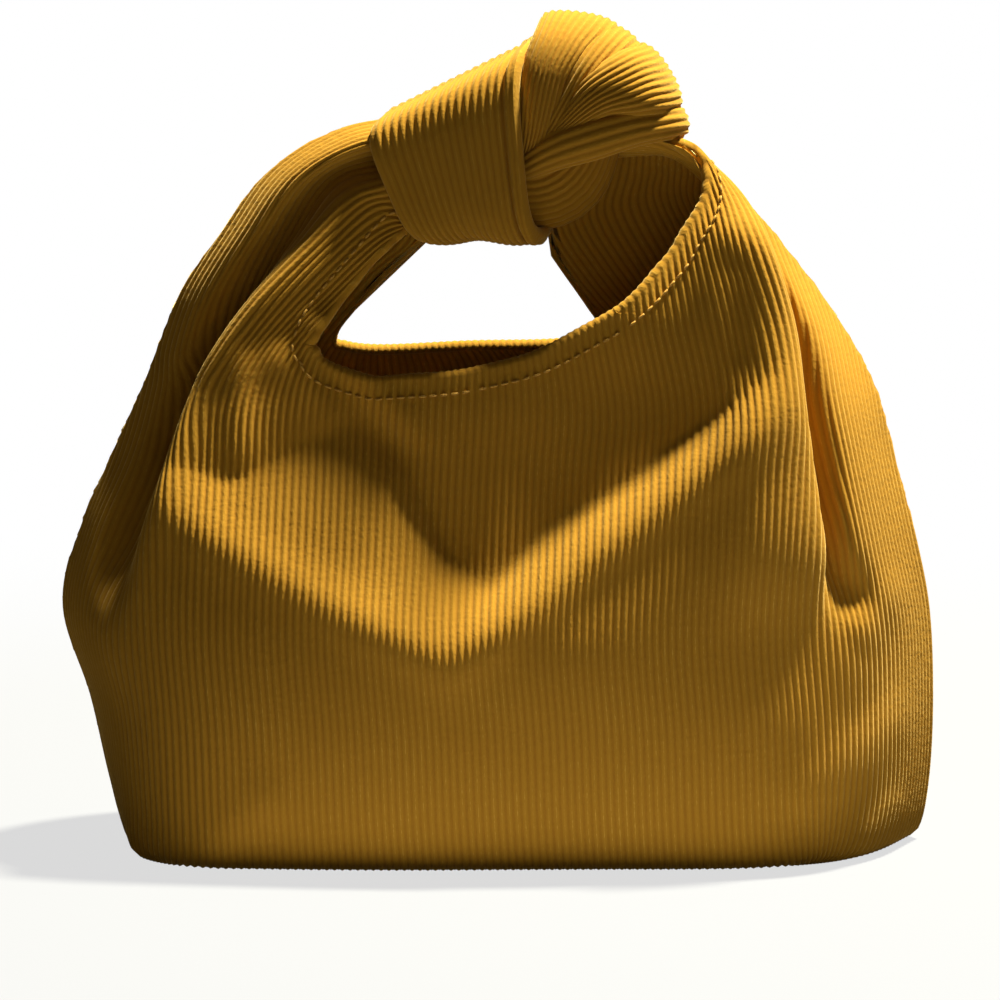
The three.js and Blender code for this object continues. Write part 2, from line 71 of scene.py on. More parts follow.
# Distances in a finished mesh under which points are joined and edges are removed.
WELD_DISTANCE = 0.002
SLIVER_LENGTH = 0.0005

# Both walls run from the left seam to the right seam. A column is the cloth's length from the left
# seam, and a level counts up from the base: the panels end at STRAP_LEVEL, the straps at KNOT_LEVEL.
STRAP_LEVEL = 8
KNOT_LEVEL = 13

FRONT_COLUMNS = (0, 20, 38, 50, 64, 82, 108, 140, 170, 196, 222, 238, 250, 262, 280, 300)
# Height, then (x, y) at each column.
FRONT_LOW = (
    (0.6, ((-106, 6), (-104.5, -11), (-101, -25), (-94, -32), (-83, -35.5), (-68, -37), (-45, -37.5),
     (-17, -38), (12, -38), (37, -37.5), (61, -36.5), (75, -35), (87, -32), (98, -27), (110, -15),
     (119.5, 3))),
    (3.5, ((-112.7, 6), (-110.5, -13), (-107, -29), (-98, -37.5), (-86, -41.5), (-70, -43),
     (-46, -43.5), (-17, -44), (12, -44), (38, -43.5), (63, -42.5), (78, -41), (91, -37.5), (103, -32),
     (116, -18), (127, 3))),
    (20, ((-117.3, 5), (-114, -14), (-108.5, -29), (-100, -38), (-88, -43.5), (-72, -46.5), (-48, -48),
     (-18, -49), (12, -49), (38, -48.5), (64, -47), (79, -45), (93, -40.5), (105, -34), (119, -19),
     (130.2, 3))),
    (45, ((-122.8, 4), (-118, -14), (-111, -28), (-103, -37), (-91, -43), (-75, -47), (-50, -49.5),
     (-19, -51), (11, -51), (37, -50.5), (63, -49), (79, -46.5), (93, -42), (105, -35), (119, -20),
     (131, 2))),
    (72, ((-130.8, 3), (-124, -14), (-116, -26), (-108, -33), (-96, -39), (-79, -43.5), (-53, -47),
     (-21, -49.5), (9, -50), (35, -49.5), (61, -47.5), (76, -45), (92, -40), (104, -34), (118, -20),
     (129.6, 2))),
    (96, ((-125.4, 4), (-119, -9), (-106, -14), (-106, -29.5), (-94, -35), (-78, -38), (-52, -40),
     (-20, -40), (10, -41.5), (36, -44.5), (63, -45.5), (79.5, -45.5), (96, -38.5), (94, -27),
     (107.5, -30), (124.8, 1))),
    (120, ((-115, 4), (-107, -6), (-96, -9.5), (-98.5, -26.5), (-88, -30.5), (-73, -33), (-49, -35),
     (-19, -35), (11, -35), (36, -37), (62, -40), (78, -42.5), (93, -35.5), (90, -22), (103.5, -27),
     (118.6, 1))),
    (140, ((-106, 3), (-98, -6), (-88.5, -7.5), (-91, -21.5), (-82, -25.5), (-68, -28.5), (-46, -32),
     (-18, -32), (11, -32), (35, -31.5), (59, -34), (77, -39), (90.5, -33), (86, -17), (99, -22.5),
     (112.8, 0))),
)
# Columns of the left strap in each wall.
FRONT_STRAP_COLUMNS = 6
BACK_STRAP_COLUMNS = 4
# (x, y, z) at the left strap's columns, then at the right strap's.
FRONT_HIGH = (
    ((-101.3, 3, 152), (-93, -7, 152), (-82.5, -6, 152.5), (-84.5, -19.5, 153), (-76, -22.5, 153.5),
     (-60, -25.5, 155.5), (37, -28, 166.5), (57, -27.5, 165), (75, -31.5, 164), (87.5, -26, 163),
     (82, -10, 162), (92, -15, 161.5), (101.3, 0, 161)),
    ((-94.5, 3, 168), (-85, -8, 168.5), (-71.5, -4, 168.5), (-73, -17, 169), (-65, -20, 169.5),
     (-46.5, -18, 170.5), (40, -21, 188), (58, -20.5, 187.5), (71, -25, 186.5), (80.5, -22.5, 185.5),
     (75, -9, 184.5), (79.5, -5, 184), (84.8, 1, 183)),
    ((-81.7, 2, 187), (-72, -9.5, 187.5), (-59.5, -2.5, 187), (-57.5, -14, 185.5), (-49, -16, 185),
     (-34, -14.5, 184), (45, -15, 201), (62.5, -15, 200.5), (68.5, -15.5, 199.5), (73.5, -11.5, 198),
     (69, -5, 197), (70.5, -2, 196.5), (74, 1.5, 195.5)),
    ((-67.5, 2, 205), (-58, -11, 204.5), (-49, -3, 201.5), (-45, -12.5, 198.5), (-38, -13.5, 195.5),
     (-27.5, -12, 189), (47, -9, 212), (61, -9, 211), (61.7, -8, 210), (62, -5.5, 208.5),
     (60.5, -2, 207.5), (60.5, 0, 207), (63.5, 2, 206.5)),
    ((-46.5, 1, 217.5), (-41, -12, 214), (-37, -5, 207.5), (-34, -12.5, 203), (-30, -12.5, 198),
     (-24, -10.5, 189.5), (38, -7, 217.5), (52, -7, 216.5), (51.5, -6, 215.5), (51, -4, 214.5),
     (50.5, -1, 213.5), (50.5, 1, 213), (51.5, 3, 212.5)),
    ((-28, 0, 221), (-25, -10, 217), (-22.5, -7, 211.5), (-20, -11, 206), (-18, -12, 200),
     (-14, -10, 191.5), (25, -5, 219), (38, -5, 218.5), (37.5, -4, 217), (37, -2, 215.5),
     (36.5, 0, 214), (36, 2, 213), (36, 4, 212)),
)
# (column, level) along the cut edge of the mouth.
FRONT_RIM = (
    (80.5, 13), (81.2, 11), (82, 9.6), (83.5, 8.6), (86, 8.03), (90, 7.8), (94, 7.6), (108, 7.31),
    (140, 7.33), (155, 7.43), (170, 7.56), (183, 7.78), (196, 8.05), (209, 8.5), (217, 8.95),
    (220.5, 9.6), (222, 10.6), (223, 12), (223.5, 13),
)

BACK_COLUMNS = (0, 24, 60, 84, 120, 155, 190, 215, 245, 275, 300)
# (x, y) between the side seams, at the front's heights. The front has the points on the seams.
BACK_LOW = (
    ((-104, 20), (-82, 34), (-62, 36), (-30, 37), (5, 37), (40, 36.5), (64, 35.5), (92, 30), (112, 17)),
    ((-109, 23), (-86, 39.5), (-64, 42), (-31, 43), (5, 43), (41, 42.5), (66, 41.5), (95, 35),
     (117, 19)),
    ((-113, 24), (-89, 42.5), (-66, 45.5), (-32, 47), (4, 47), (41, 46.5), (67, 45), (97, 37.5),
     (120, 20)),
    ((-117, 25), (-92, 43.5), (-69, 46.5), (-34, 48), (3, 48.5), (40, 48), (67, 46), (98, 37.5),
     (121, 20)),
    ((-121, 22), (-94, 41), (-71, 45), (-35, 47.5), (3, 48), (40, 47), (66, 45), (96, 36.5),
     (119.5, 19)),
    ((-114, 20), (-89, 36), (-68, 40.5), (-34, 43.5), (2, 44), (38, 43), (63, 41), (91, 32.5),
     (113, 17)),
    ((-104, 18), (-82, 30.5), (-63, 34.5), (-32, 37), (1, 37.5), (35, 37), (59, 35), (86, 27.5),
     (107, 14.5)),
    ((-96, 15.5), (-76, 25), (-58, 28.5), (-30, 31), (0, 31.5), (31, 31.5), (53, 30), (80, 23.5),
     (101, 12)),
)
# (x, y, z) at the straps' columns between the side seams.
BACK_HIGH = (
    ((-91, 14, 152), (-72, 21, 152), (-52, 21, 152.5), (33, 21, 158), (72, 20, 160), (91, 10.5, 161)),
    ((-84, 11, 168.5), (-65, 15, 168.5), (-38.5, 12, 169), (20, 13, 174), (58, 15, 180), (76, 8, 183)),
    ((-72, 9, 186.5), (-52, 12, 184), (-26, 10, 179.5), (13, 9, 186), (48, 13, 195), (65, 7.5, 196)),
    ((-57, 8, 202), (-42, 11, 195), (-22, 9, 184.5), (14, 7, 196), (42, 10.5, 204), (55, 7, 206.5)),
    ((-40, 8, 212), (-32, 10.5, 201), (-20.5, 8.5, 187.5), (15, 6, 203), (34, 9, 210), (45, 6.5, 212)),
    ((-25, 8, 216), (-19, 10, 205), (-11, 8, 190.5), (10, 5, 207), (22, 7, 211), (31, 6, 212)),
)
BACK_RIM = (
    (82.5, 13), (83, 11), (83.6, 9.4), (84.6, 8.4), (88, 7.9), (96, 7.7), (110, 7.55), (150, 7.55),
    (190, 7.55), (205, 7.7), (212, 7.9), (215, 8.4), (216, 9.4), (216.6, 11), (217, 13),
)
# Cloth from the left end to the middle column of each wall, and across the whole front. Level by level:
# how much of it the side seams take and, on the straps, how far from the left end the mouth's edge lies.
FRONT_MIDDLE = 132
BACK_MIDDLE = 152
FRONT_CLOTH = 304
LEFT_SEAM_TAKES = (0, 0, 0, 0, 0, 2, 6, 12, 17, 19, 21, 23, 25, 26)
RIGHT_SEAM_TAKES = (0, 0, 0, 0, 0, 0, 2, 8, 22, 38, 46, 50, 52, 53)
LEFT_RIM_CLOTH = (83, 82, 80, 77, 74, 72)
RIGHT_RIM_CLOTH = (212, 218, 227, 232, 235, 237)
# Cloth between the mouth's right edge and the last column that bridges the open mouth.
BRIDGE_CLOTH = 20
# Cloth counted for each level below a piece, where its pattern starts.
LEVEL_CLIMB = 20
ROWS_PER_LEVEL = (3, 6, 8, 10, 10, 9, 8, 7)
STRAP_ROWS_PER_LEVEL = 7
# Hem at a piece's ends: its share of the height, and its width across.
HEM_SHARE = 0.0005
HEM_WIDTH = 0.02
# Columns from a side seam over which the walls' folds grow to their full depth.
FOLD_FADE = (2, 30)
# Steps in columns and levels over which slopes are measured, points along a rim, and levels tried to
# find where a rib meets it.
SLOPE_STEPS = (0.6, 0.03)
RIM_POINTS = 1500
RIM_SEARCH_LEVELS = 240

# Topstitching beside the mouth's edge.
STITCH_PITCH = 3.3
STITCH_LENGTH = 2.5
STITCH_INSET = 5.0
STITCH_RADIUS = 0.36
STITCH_START = 1.0
STITCH_SIDES = 6
# Along a stitch: shares of its length, its width there as a share, and how far it lies above the ribs.
STITCH_SHARES = np.array((0.0, 0.12, 0.35, 0.65, 0.88, 1.0))
STITCH_WIDTHS = np.array((0.25, 0.8, 1.0, 1.0, 0.8, 0.25))
STITCH_LIFTS = np.array((-0.5, -0.05, 0.12, 0.12, -0.05, -0.5))
STITCH_TOP = KNOT_LEVEL - 0.6

# Wrap of the knot: its two edges from foot to head in the front view's (x, z), and how it leans.
WRAP_LEFT_EDGE = ((-17.5, 185), (-33, 222))
WRAP_RIGHT_EDGE = ((14.5, 185), (9.5, 243))
WRAP_TILT = math.radians(13)
WRAP_AXIS = np.array((math.cos(WRAP_TILT), math.sin(WRAP_TILT)))
WRAP_HALF_DEPTH = (15, 19)
WRAP_SQUARENESS = 4.0
# How far its front and back lie along the strand from its top, and how soon they do.
WRAP_FRONT_SHIFT = -6.3
WRAP_BACK_SHIFT = 3.0
WRAP_SHIFT_POWER = 1.5
WRAP_WALES = 17.5
WRAP_EDGE_RADIUS = 1.9
# A strip turned along its right edge, how far it stands out and how deep the crease beside it is.
WRAP_STRIP = 3.2
WRAP_STRIP_LIFT = 0.9
WRAP_CREASE = (1.0, 0.7)
WRAP_SIDES = 84
WRAP_INNER_RINGS = 9
WRAP_EDGE_RIB = 0.8
# Ripples of its face: height, half waves across it and how far they swing on the way round.
WRAP_RIPPLE_HEIGHT = 0.7
WRAP_RIPPLE_WAVES = 3
WRAP_RIPPLE_SWING = 1.2
# Radius by which its cloth is measured on the way round.
WRAP_CLOTH_RADIUS = 22

# Folds of the knot, each a band that rises in front, turns over and goes down behind: piece, nodes it
# stands for, angle of its width in the front view, and (x, y, z), half width and half thickness along it.
FOLDS = (
    ("fold_top", ["knot_fold_top"], -8, (
        (8, -7, 208, 2.5, 3), (11, -10.5, 217, 5, 4.5), (13, -12, 227, 6.8, 5), (15, -12, 236, 7.6, 5),
        (19.5, -9, 243.5, 9.2, 4.8), (24, -2, 247.6, 11.6, 4.6), (24.5, 6, 245, 11, 4.6),
        (20, 11, 236, 9, 5), (14, 11, 224, 7, 5), (9, 7, 212, 4, 3),
    )),
    ("fold_split", [], -33, (
        (11, -8, 210, 2, 3), (17, -12, 220, 3, 4), (22.5, -13.5, 229.5, 4, 4.2),
        (28, -12.5, 237.5, 5, 4.2), (33.5, -7, 242.6, 6, 4.2), (36, 1, 243, 6.6, 4.2),
        (32, 9, 239, 6.4, 4.2), (22, 11, 228, 5, 4.2), (12, 8, 212, 3, 3),
    )),
    ("fold_middle", ["knot_fold_middle"], -59, (
        (13, -8, 212, 3, 3), (21, -13, 221.5, 3.8, 4.6), (30, -16, 229.8, 6.8, 5),
        (39, -14.5, 233, 9.6, 5), (45, -8, 233, 10.8, 4.8), (47.2, 0, 232.6, 11.4, 4.6),
        (44, 8, 231.5, 10.6, 4.6), (34, 12, 228, 8.6, 5), (20, 10, 220, 6, 4.6), (10, 6, 212, 4, 3),
    )),
    ("fold_low", ["knot_fold_low"], -74, (
        (6, -8, 206, 3.5, 3), (17, -13, 213, 5.6, 4.4), (27.5, -15, 217.2, 6.6, 4.8),
        (40, -13, 220.4, 6, 4.8), (49, -8, 220.6, 5.2, 4.6), (52.2, 0, 219.3, 5, 4.4),
        (47, 7, 218, 5.2, 4.4), (34, 10, 215, 5.5, 4.4), (18, 9, 210, 5, 4.4), (8, 6, 206, 4, 3),
    )),
)
# Strand inside the knot: its line, then its half heights and half depths along it.
CORE_LINE = ((-36, 0, 203), (-18, 0, 206), (0, 0, 209), (14, 0, 211.5), (31, 0, 230), (41, 0, 232))
CORE_HALF_HEIGHTS = (13, 15, 18, 22.5, 10, 7)
CORE_HALF_DEPTHS = (9, 10, 11, 10, 8, 5)
# Share of the strand from its middle to where its ends round off, and how small they get.
CORE_STRAIGHT = 0.82
CORE_TIP = 0.12
CORE_STEPS = 40
FOLD_STEPS = 72
FOLD_SQUARENESS = 2.3
# Share of a tube at which its ribs are counted, how its ribs fade in at both ends, and its cloth's length.
TUBE_WIDEST = 0.55
TUBE_END_FADE = 0.06
TUBE_CLOTH = 100
TUBE_TURNS = 721
STATION_STEP = 0.02


def bend(t, span, values, slopes):
    """Smooth line from one value to another over a span, with given slopes at both."""
    start = (2 * t**3 - 3 * t**2 + 1) * values[0] + (t**3 - 2 * t**2 + t) * span * slopes[0]
    end = (3 * t**2 - 2 * t**3) * values[1] + (t**3 - t**2) * span * slopes[1]
    return start + end


def spline_weights(knots, places):
    """How much each knot's value counts at each place on a smooth line through the knots."""
    knots = np.asarray(knots, float)
    places = np.clip(np.asarray(places, float), knots[0], knots[-1])
    values = np.eye(len(knots))
    slopes = np.gradient(values, knots, axis=0)
    i = np.clip(np.searchsorted(knots, places, side="right") - 1, 0, len(knots) - 2)
    span = (knots[i + 1] - knots[i])[:, None]
    t = (places - knots[i])[:, None] / span
    return bend(t, span, (values[i], values[i + 1]), (slopes[i], slopes[i + 1]))


def run_length(points):
    """Length along each line of points, from 0 at its first."""
    steps = np.linalg.norm(np.diff(points, axis=0), axis=-1)
    return np.concatenate([np.zeros_like(steps[:1]), np.cumsum(steps, axis=0)])


def smooth_line(points, count):
    """Evenly spread points on a smooth line through the given ones."""
    points = np.asarray(points, float)
    steps = np.linalg.norm(np.diff(points, axis=0), axis=1)
    along = np.concatenate([[0.0], np.cumsum(np.sqrt(steps))])
    return spline_weights(along, np.linspace(0, along[-1], count)) @ points


def smooth_step(value, low, high):
    t = np.clip((value - low) / (high - low), 0, 1)
    return t * t * (3 - 2 * t)


def unit(vectors):
    return vectors / np.maximum(np.linalg.norm(vectors, axis=-1, keepdims=True), 1e-9)


def lerp(a, b, t):
    return a + (b - a) * t


# Shares of a fold's length over which its ends fade, and how steep a lapped fold's step is.
FOLD_END_FADE = (-0.12, 0.22)
LAP_STEEPNESS = 1.65


def line_fold(p, start, end, width):
    """Widths from a line in the front view, positive on its left, and a fade at its ends."""
    a = np.asarray(start, float)
    run = np.asarray(end, float) - a
    length = np.linalg.norm(run)
    run = run / length
    q = p[..., [0, 2]] - a
    t = (q @ run) / length
    aside = (q[..., 1] * run[0] - q[..., 0] * run[1]) / width
    return aside, smooth_step(np.minimum(t, 1 - t), *FOLD_END_FADE)


def ridge(p, start, end, width, height):
    """Cloth stands out along the line."""
    aside, fade = line_fold(p, start, end, width)
    return -height * np.exp(-aside**2) * fade


def lapped_fold(p, start, end, width, height):
    """Cloth on the line's right stands out over the cloth on its left."""
    aside, fade = line_fold(p, start, end, width)
    return LAP_STEEPNESS * height * aside * np.exp(-aside**2) * fade


def waves(p, height, across, up):
    """Slow waves over a whole wall. across and up are each a length and a phase."""
    x, z = p[..., 0], p[..., 2]
    return height * np.sin(x / across[0] + across[1]) * np.sin(z / up[0] + up[1])


# Drape of the front: the cloth hangs from both straps into a V. In the front view, the V's point, how
# round it is and the slopes of its arms. Across the bag, how high above the V the hollow lies and how
# deep it is. Then how the hollow fades above, to the top and at both sides, and the swell along the V.
V_POINT = (-14, 64)
V_ROUNDNESS = 3
V_LEFT_SLOPE = 0.5
V_RIGHT_SLOPE = 0.74
HOLLOW_PLACES = (-95, -77, -59, -40, -26, -14, -4, 13, 37, 75)
HOLLOW_HEIGHTS = (16, 22, 38, 53, 48, 28, 16, 17, 14, 15)
HOLLOW_DEPTHS = (3.5, 4.5, 9, 12.5, 11.5, 9, 7.5, 7, 6.5, 6.5)
HOLLOW_FADE = 60.0
HOLLOW_TOP = (140, 185)
HOLLOW_LEFT = (-116, -78)
HOLLOW_RIGHT = (62, 94)
HOLLOW_SOFTNESS = 0.07
SWELL_DEPTH = 2.0
SWELL_WIDTH = 8.5
# Smaller folds of the front: start and end in the front view, width, and height, below 0 for a dent.
FRONT_LAP = ((-24, 124), (-60, 163), 6, 2.6)
FRONT_RIDGES = (
    ((70, 188), (72, 146), 6, -2.2),
    ((106, 70), (122, 84), 7, 1.6),
    ((84, 20), (128, 46), 9, 1.8),
    ((108, 2), (122, 18), 6, 1.2),
    ((-90, 4), (-64, 28), 8, 1.4),
    ((-76, 120), (-77, 158), 5, 1.0),
)
FRONT_WAVES = (0.5, (17, 0.6), (21, 1.1))
# Sag of the back: its depth, its height at the middle, how it rises to the sides, and its width.
BACK_SAG = 2.4
BACK_SAG_HEIGHT = 112
BACK_SAG_RISE = 0.25
BACK_SAG_WIDTH = 12
BACK_WAVES = (0.8, (19, 1.7), (23, 0.4))


def drape(x, z):
    """How far the hanging cloth lies back: most in the hollow, and a little forward along the V."""
    left = V_LEFT_SLOPE * (V_POINT[0] - x) / V_ROUNDNESS
    right = V_RIGHT_SLOPE * (x - V_POINT[0]) / V_ROUNDNESS
    above = z - V_POINT[1] - V_ROUNDNESS * np.logaddexp(left, right)
    across = spline_weights(HOLLOW_PLACES, np.ravel(x))
    height = (across @ np.array(HOLLOW_HEIGHTS, float)).reshape(np.shape(x))
    depth = (across @ np.array(HOLLOW_DEPTHS, float)).reshape(np.shape(x))
    below_hollow = np.maximum(above / height, 0) ** 2
    over_hollow = np.exp((height - above) / HOLLOW_FADE)
    lower = np.logaddexp(-below_hollow / HOLLOW_SOFTNESS, -over_hollow / HOLLOW_SOFTNESS)
    hollow = -HOLLOW_SOFTNESS * lower
    swell = np.exp(-((above / SWELL_WIDTH) ** 2))
    hollow = hollow * (1 - smooth_step(z, *HOLLOW_TOP))
    return depth * hollow - SWELL_DEPTH * swell


def front_folds(p):
    """How far the folds of the front wall move it back."""
    x, z = p[..., 0], p[..., 2]
    moved = drape(x, z) * smooth_step(x, *HOLLOW_LEFT) * (1 - smooth_step(x, *HOLLOW_RIGHT))
    moved = moved + lapped_fold(p, *FRONT_LAP)
    for fold in FRONT_RIDGES:
        moved = moved + ridge(p, *fold)
    return moved + waves(p, *FRONT_WAVES)


def back_folds(p):
    """How far the folds of the back wall move it back."""
    x, z = p[..., 0], p[..., 2]
    above = z - BACK_SAG_HEIGHT - BACK_SAG_RISE * np.abs(x)
    sag = -BACK_SAG * np.exp(-((above / BACK_SAG_WIDTH) ** 2))
    return sag + waves(p, *BACK_WAVES)


def fill_levels(columns, low, high, left_columns):
    """Net points of one wall, with the open mouth bridged by straight lines between the straps."""
    levels = [[(x, y, z) for x, y in row] for z, row in low]
    for row in high:
        last, first = np.array(row[left_columns - 1]), np.array(row[left_columns])
        gap = len(columns) - len(row) + 1
        between = [tuple(lerp(last, first, i / gap)) for i in range(1, gap)]
        levels.append([*row[:left_columns], *between, *row[left_columns:]])
    return np.array(levels, float)


def walk(table, spans, start, end):
    """Fills a row of cloth lengths outward from a known column, by the net's own spans."""
    step = 1 if end > start else -1
    for i in range(start, end, step):
        span = spans[i] if step > 0 else spans[i - 1]
        table[i + step] = table[i] + step * span


def front_cloth(levels):
    """Cloth length from the left end at each net point. The two deep pleats hide the slack."""
    left_seam, left_pleat, left_panel, left_rim, middle = 0, 2, 3, 5, 7
    bridge_end, right_rim, right_panel, right_pleat, right_seam = 9, 10, 12, 13, 15
    spans = np.linalg.norm(np.diff(levels, axis=1), axis=-1)
    table = np.zeros(levels.shape[:2])
    table[:, left_seam] = LEFT_SEAM_TAKES
    table[:, right_seam] = FRONT_CLOTH - np.array(RIGHT_SEAM_TAKES)
    wall_top = table[STRAP_LEVEL - 1]
    for number, (row, span) in enumerate(zip(table, spans)):
        walk(row, span, left_seam, left_pleat)
        walk(row, span, right_seam, right_pleat)
        if number < STRAP_LEVEL:
            row[middle] = FRONT_MIDDLE
            walk(row, span, middle, left_panel)
            walk(row, span, middle, right_panel)
            continue
        row[left_panel] = wall_top[left_panel]
        row[right_panel] = wall_top[right_panel]
        row[left_rim] = LEFT_RIM_CLOTH[number - STRAP_LEVEL]
        row[right_rim] = RIGHT_RIM_CLOTH[number - STRAP_LEVEL]
        for first, last in ((left_panel, left_rim), (right_rim, right_panel)):
            share = span[first] / (span[first] + span[first + 1])
            row[first + 1] = lerp(row[first], row[last], share)
        row[bridge_end] = row[right_rim] - BRIDGE_CLOTH
        bridge = slice(left_rim, bridge_end + 1)
        row[bridge] = np.linspace(row[left_rim], row[bridge_end], len(row[bridge]))
    return table


def back_cloth(levels):
    """Cloth length at each net point of the back, measured out from its middle."""
    left_rim, middle, right_rim, right_seam = 3, 5, 7, 10
    spans = np.linalg.norm(np.diff(levels, axis=1), axis=-1)
    table = np.zeros(levels.shape[:2])
    wall_top = table[STRAP_LEVEL - 1]
    for number, (row, span) in enumerate(zip(table, spans)):
        if number < STRAP_LEVEL:
            row[middle] = BACK_MIDDLE
            walk(row, span, middle, 0)
            walk(row, span, middle, right_seam)
            continue
        bridge = slice(left_rim, right_rim + 1)
        row[bridge] = np.linspace(wall_top[left_rim], wall_top[right_rim], len(row[bridge]))
        walk(row, span, left_rim, 0)
        walk(row, span, right_rim, right_seam)
    return table


def steady_line(knots, values, places):
    """Value at one place in each row of rising knots, on a smooth line that never turns back."""
    spans = np.maximum(np.diff(knots, axis=1), 1e-6)
    slopes = np.diff(values)[None, :] / spans
    middle = 2 * slopes[:, :-1] * slopes[:, 1:] / (slopes[:, :-1] + slopes[:, 1:])
    ends = np.concatenate([slopes[:, :1], middle, slopes[:, -1:]], axis=1)
    i = np.clip((knots < places[:, None]).sum(axis=1) - 1, 0, knots.shape[1] - 2)
    rows = np.arange(len(knots))
    span = spans[rows, i]
    t = np.clip((places - knots[rows, i]) / span, 0, 1)
    return bend(t, span, (values[i], values[i + 1]), (ends[rows, i], ends[rows, i + 1]))


class Wall:
    """One side of the bag: a smooth net, the cloth's ribs on it, its folds and the edge of the mouth."""

    def __init__(self, columns, levels, cloth, rim, outward, folds):
        self.columns = np.array(columns, float)
        self.levels = levels
        self.cloth = cloth
        self.outward = outward
        self.folds = folds
        self.rim = smooth_line(rim, RIM_POINTS)

    def points(self, u, v):
        u, v = np.broadcast_arrays(np.asarray(u, float), np.asarray(v, float))
        across = spline_weights(self.columns, u.ravel())
        upward = spline_weights(range(len(self.levels)), v.ravel())
        flat = self.levels.reshape(len(self.levels), -1)
        rows = (upward @ flat).reshape(-1, len(self.columns), 3)
        p = np.einsum("ac,acd->ad", across, rows)
        from_seam = np.minimum(u, self.columns[-1] - u).ravel()
        p[:, 1] += self.folds(p) * smooth_step(from_seam, *FOLD_FADE)
        return p.reshape(*u.shape, 3)

    def normals(self, u, v):
        du, dv = SLOPE_STEPS
        across = self.points(u + du, v) - self.points(u - du, v)
        upward = self.points(u, v + dv) - self.points(u, v - dv)
        return unit(self.outward * np.cross(across, upward))

    def column(self, cloth, v):
        """Column where a rib line crosses a level, and whether the side seam has cut it off there."""
        cloth, v = np.broadcast_arrays(np.asarray(cloth, float), np.asarray(v, float))
        knots = spline_weights(range(len(self.levels)), v.ravel()) @ self.cloth
        knots = np.maximum.accumulate(knots, axis=1)
        wanted = cloth.ravel()
        cut = (wanted < knots[:, 0]) | (wanted > knots[:, -1])
        found = steady_line(knots, self.columns, np.clip(wanted, knots[:, 0], knots[:, -1]))
        return found.reshape(cloth.shape), cut.reshape(cloth.shape)

    def rim_level(self, u):
        return np.interp(u, self.rim[:, 0], self.rim[:, 1], left=KNOT_LEVEL + 1, right=KNOT_LEVEL + 1)

    def rim_top(self, cloth, low, high):
        """Level where each rib line meets the mouth's edge, or the top of the piece if it doesn't."""
        levels = np.linspace(low, high, RIM_SEARCH_LEVELS)
        u, _ = self.column(cloth[None, :], levels[:, None])
        room = self.rim_level(u) - levels[:, None]
        past = room < 0
        meets = past.any(axis=0)
        after = np.where(meets, past.argmax(axis=0), len(levels) - 1)
        before = np.maximum(after - 1, 0)
        columns = np.arange(len(cloth))
        gap = room[before, columns] - room[after, columns]
        share = np.where(gap > 1e-9, room[before, columns] / np.maximum(gap, 1e-9), 0)
        return np.where(meets, lerp(levels[before], levels[after], np.clip(share, 0, 1)), high), meets

    def rim_cloth(self, level, right):
        """Cloth length at which the mouth's edge crosses a level, on its left or its right side."""
        lowest = int(np.argmin(self.rim[:, 1]))
        side = self.rim[lowest:] if right else self.rim[lowest::-1]
        u = float(np.interp(level, side[:, 1], side[:, 0]))
        knots = spline_weights(range(len(self.levels)), [level]) @ self.cloth
        return float(np.interp(u, self.columns, knots[0]))

    def rim_away(self, u, v):
        """Direction out over the mouth's edge, square to it, at columns on the edge."""
        line = self.points(self.rim[:, 0], self.rim[:, 1])
        run = unit(np.gradient(line, axis=0))
        along = np.stack([np.interp(u, self.rim[:, 0], run[:, i]) for i in range(3)], axis=-1)
        return unit(self.outward * np.cross(self.normals(u, v), along))


# The back shares the front's heights and its points on the side seams.
BACK_WALL = [(z, (seam[0], *row, seam[-1])) for (z, seam), row in zip(FRONT_LOW, BACK_LOW)]
BACK_STRAPS = [(seam[0], *row, seam[-1]) for seam, row in zip(FRONT_HIGH, BACK_HIGH)]
FRONT_NET = fill_levels(FRONT_COLUMNS, FRONT_LOW, FRONT_HIGH, FRONT_STRAP_COLUMNS)
BACK_NET = fill_levels(BACK_COLUMNS, BACK_WALL, BACK_STRAPS, BACK_STRAP_COLUMNS)
front = Wall(FRONT_COLUMNS, FRONT_NET, front_cloth(FRONT_NET), FRONT_RIM, 1, front_folds)
back = Wall(BACK_COLUMNS, BACK_NET, back_cloth(BACK_NET), BACK_RIM, -1, back_folds)


def pile(u):
    """Height of the rib at a column, from 0 in a groove to 1 on top."""
    return np.abs(np.sin(np.pi * np.asarray(u) / WALE_PITCH)) ** WALE_ROUNDNESS


def wale_columns(start, end, phases):
    """Columns that follow the ribs between two columns, and which of them lie in a groove or at an end."""
    first, last = math.floor(start / WALE_PITCH), math.ceil(end / WALE_PITCH)
    all_columns = np.array([WALE_PITCH * (i + phase) for i in range(first, last + 1) for phase in phases])
    clear = (all_columns > start + EDGE_CLEARANCE) & (all_columns < end - EDGE_CLEARANCE)
    inside = all_columns[clear]
    columns = np.concatenate([[start, start + HEM_WIDTH], inside, [end - HEM_WIDTH, end]])
    share = (columns / WALE_PITCH) % 1.0
    grooves = [i for i in range(2, len(columns) - 2) if min(share[i], 1 - share[i]) < GROOVE_SHARE]
    return columns, [0, *grooves, len(columns) - 1]


def place_object(name, data):
    made = bpy.data.objects.new(name, data)
    bpy.context.scene.collection.objects.link(made)
    return made


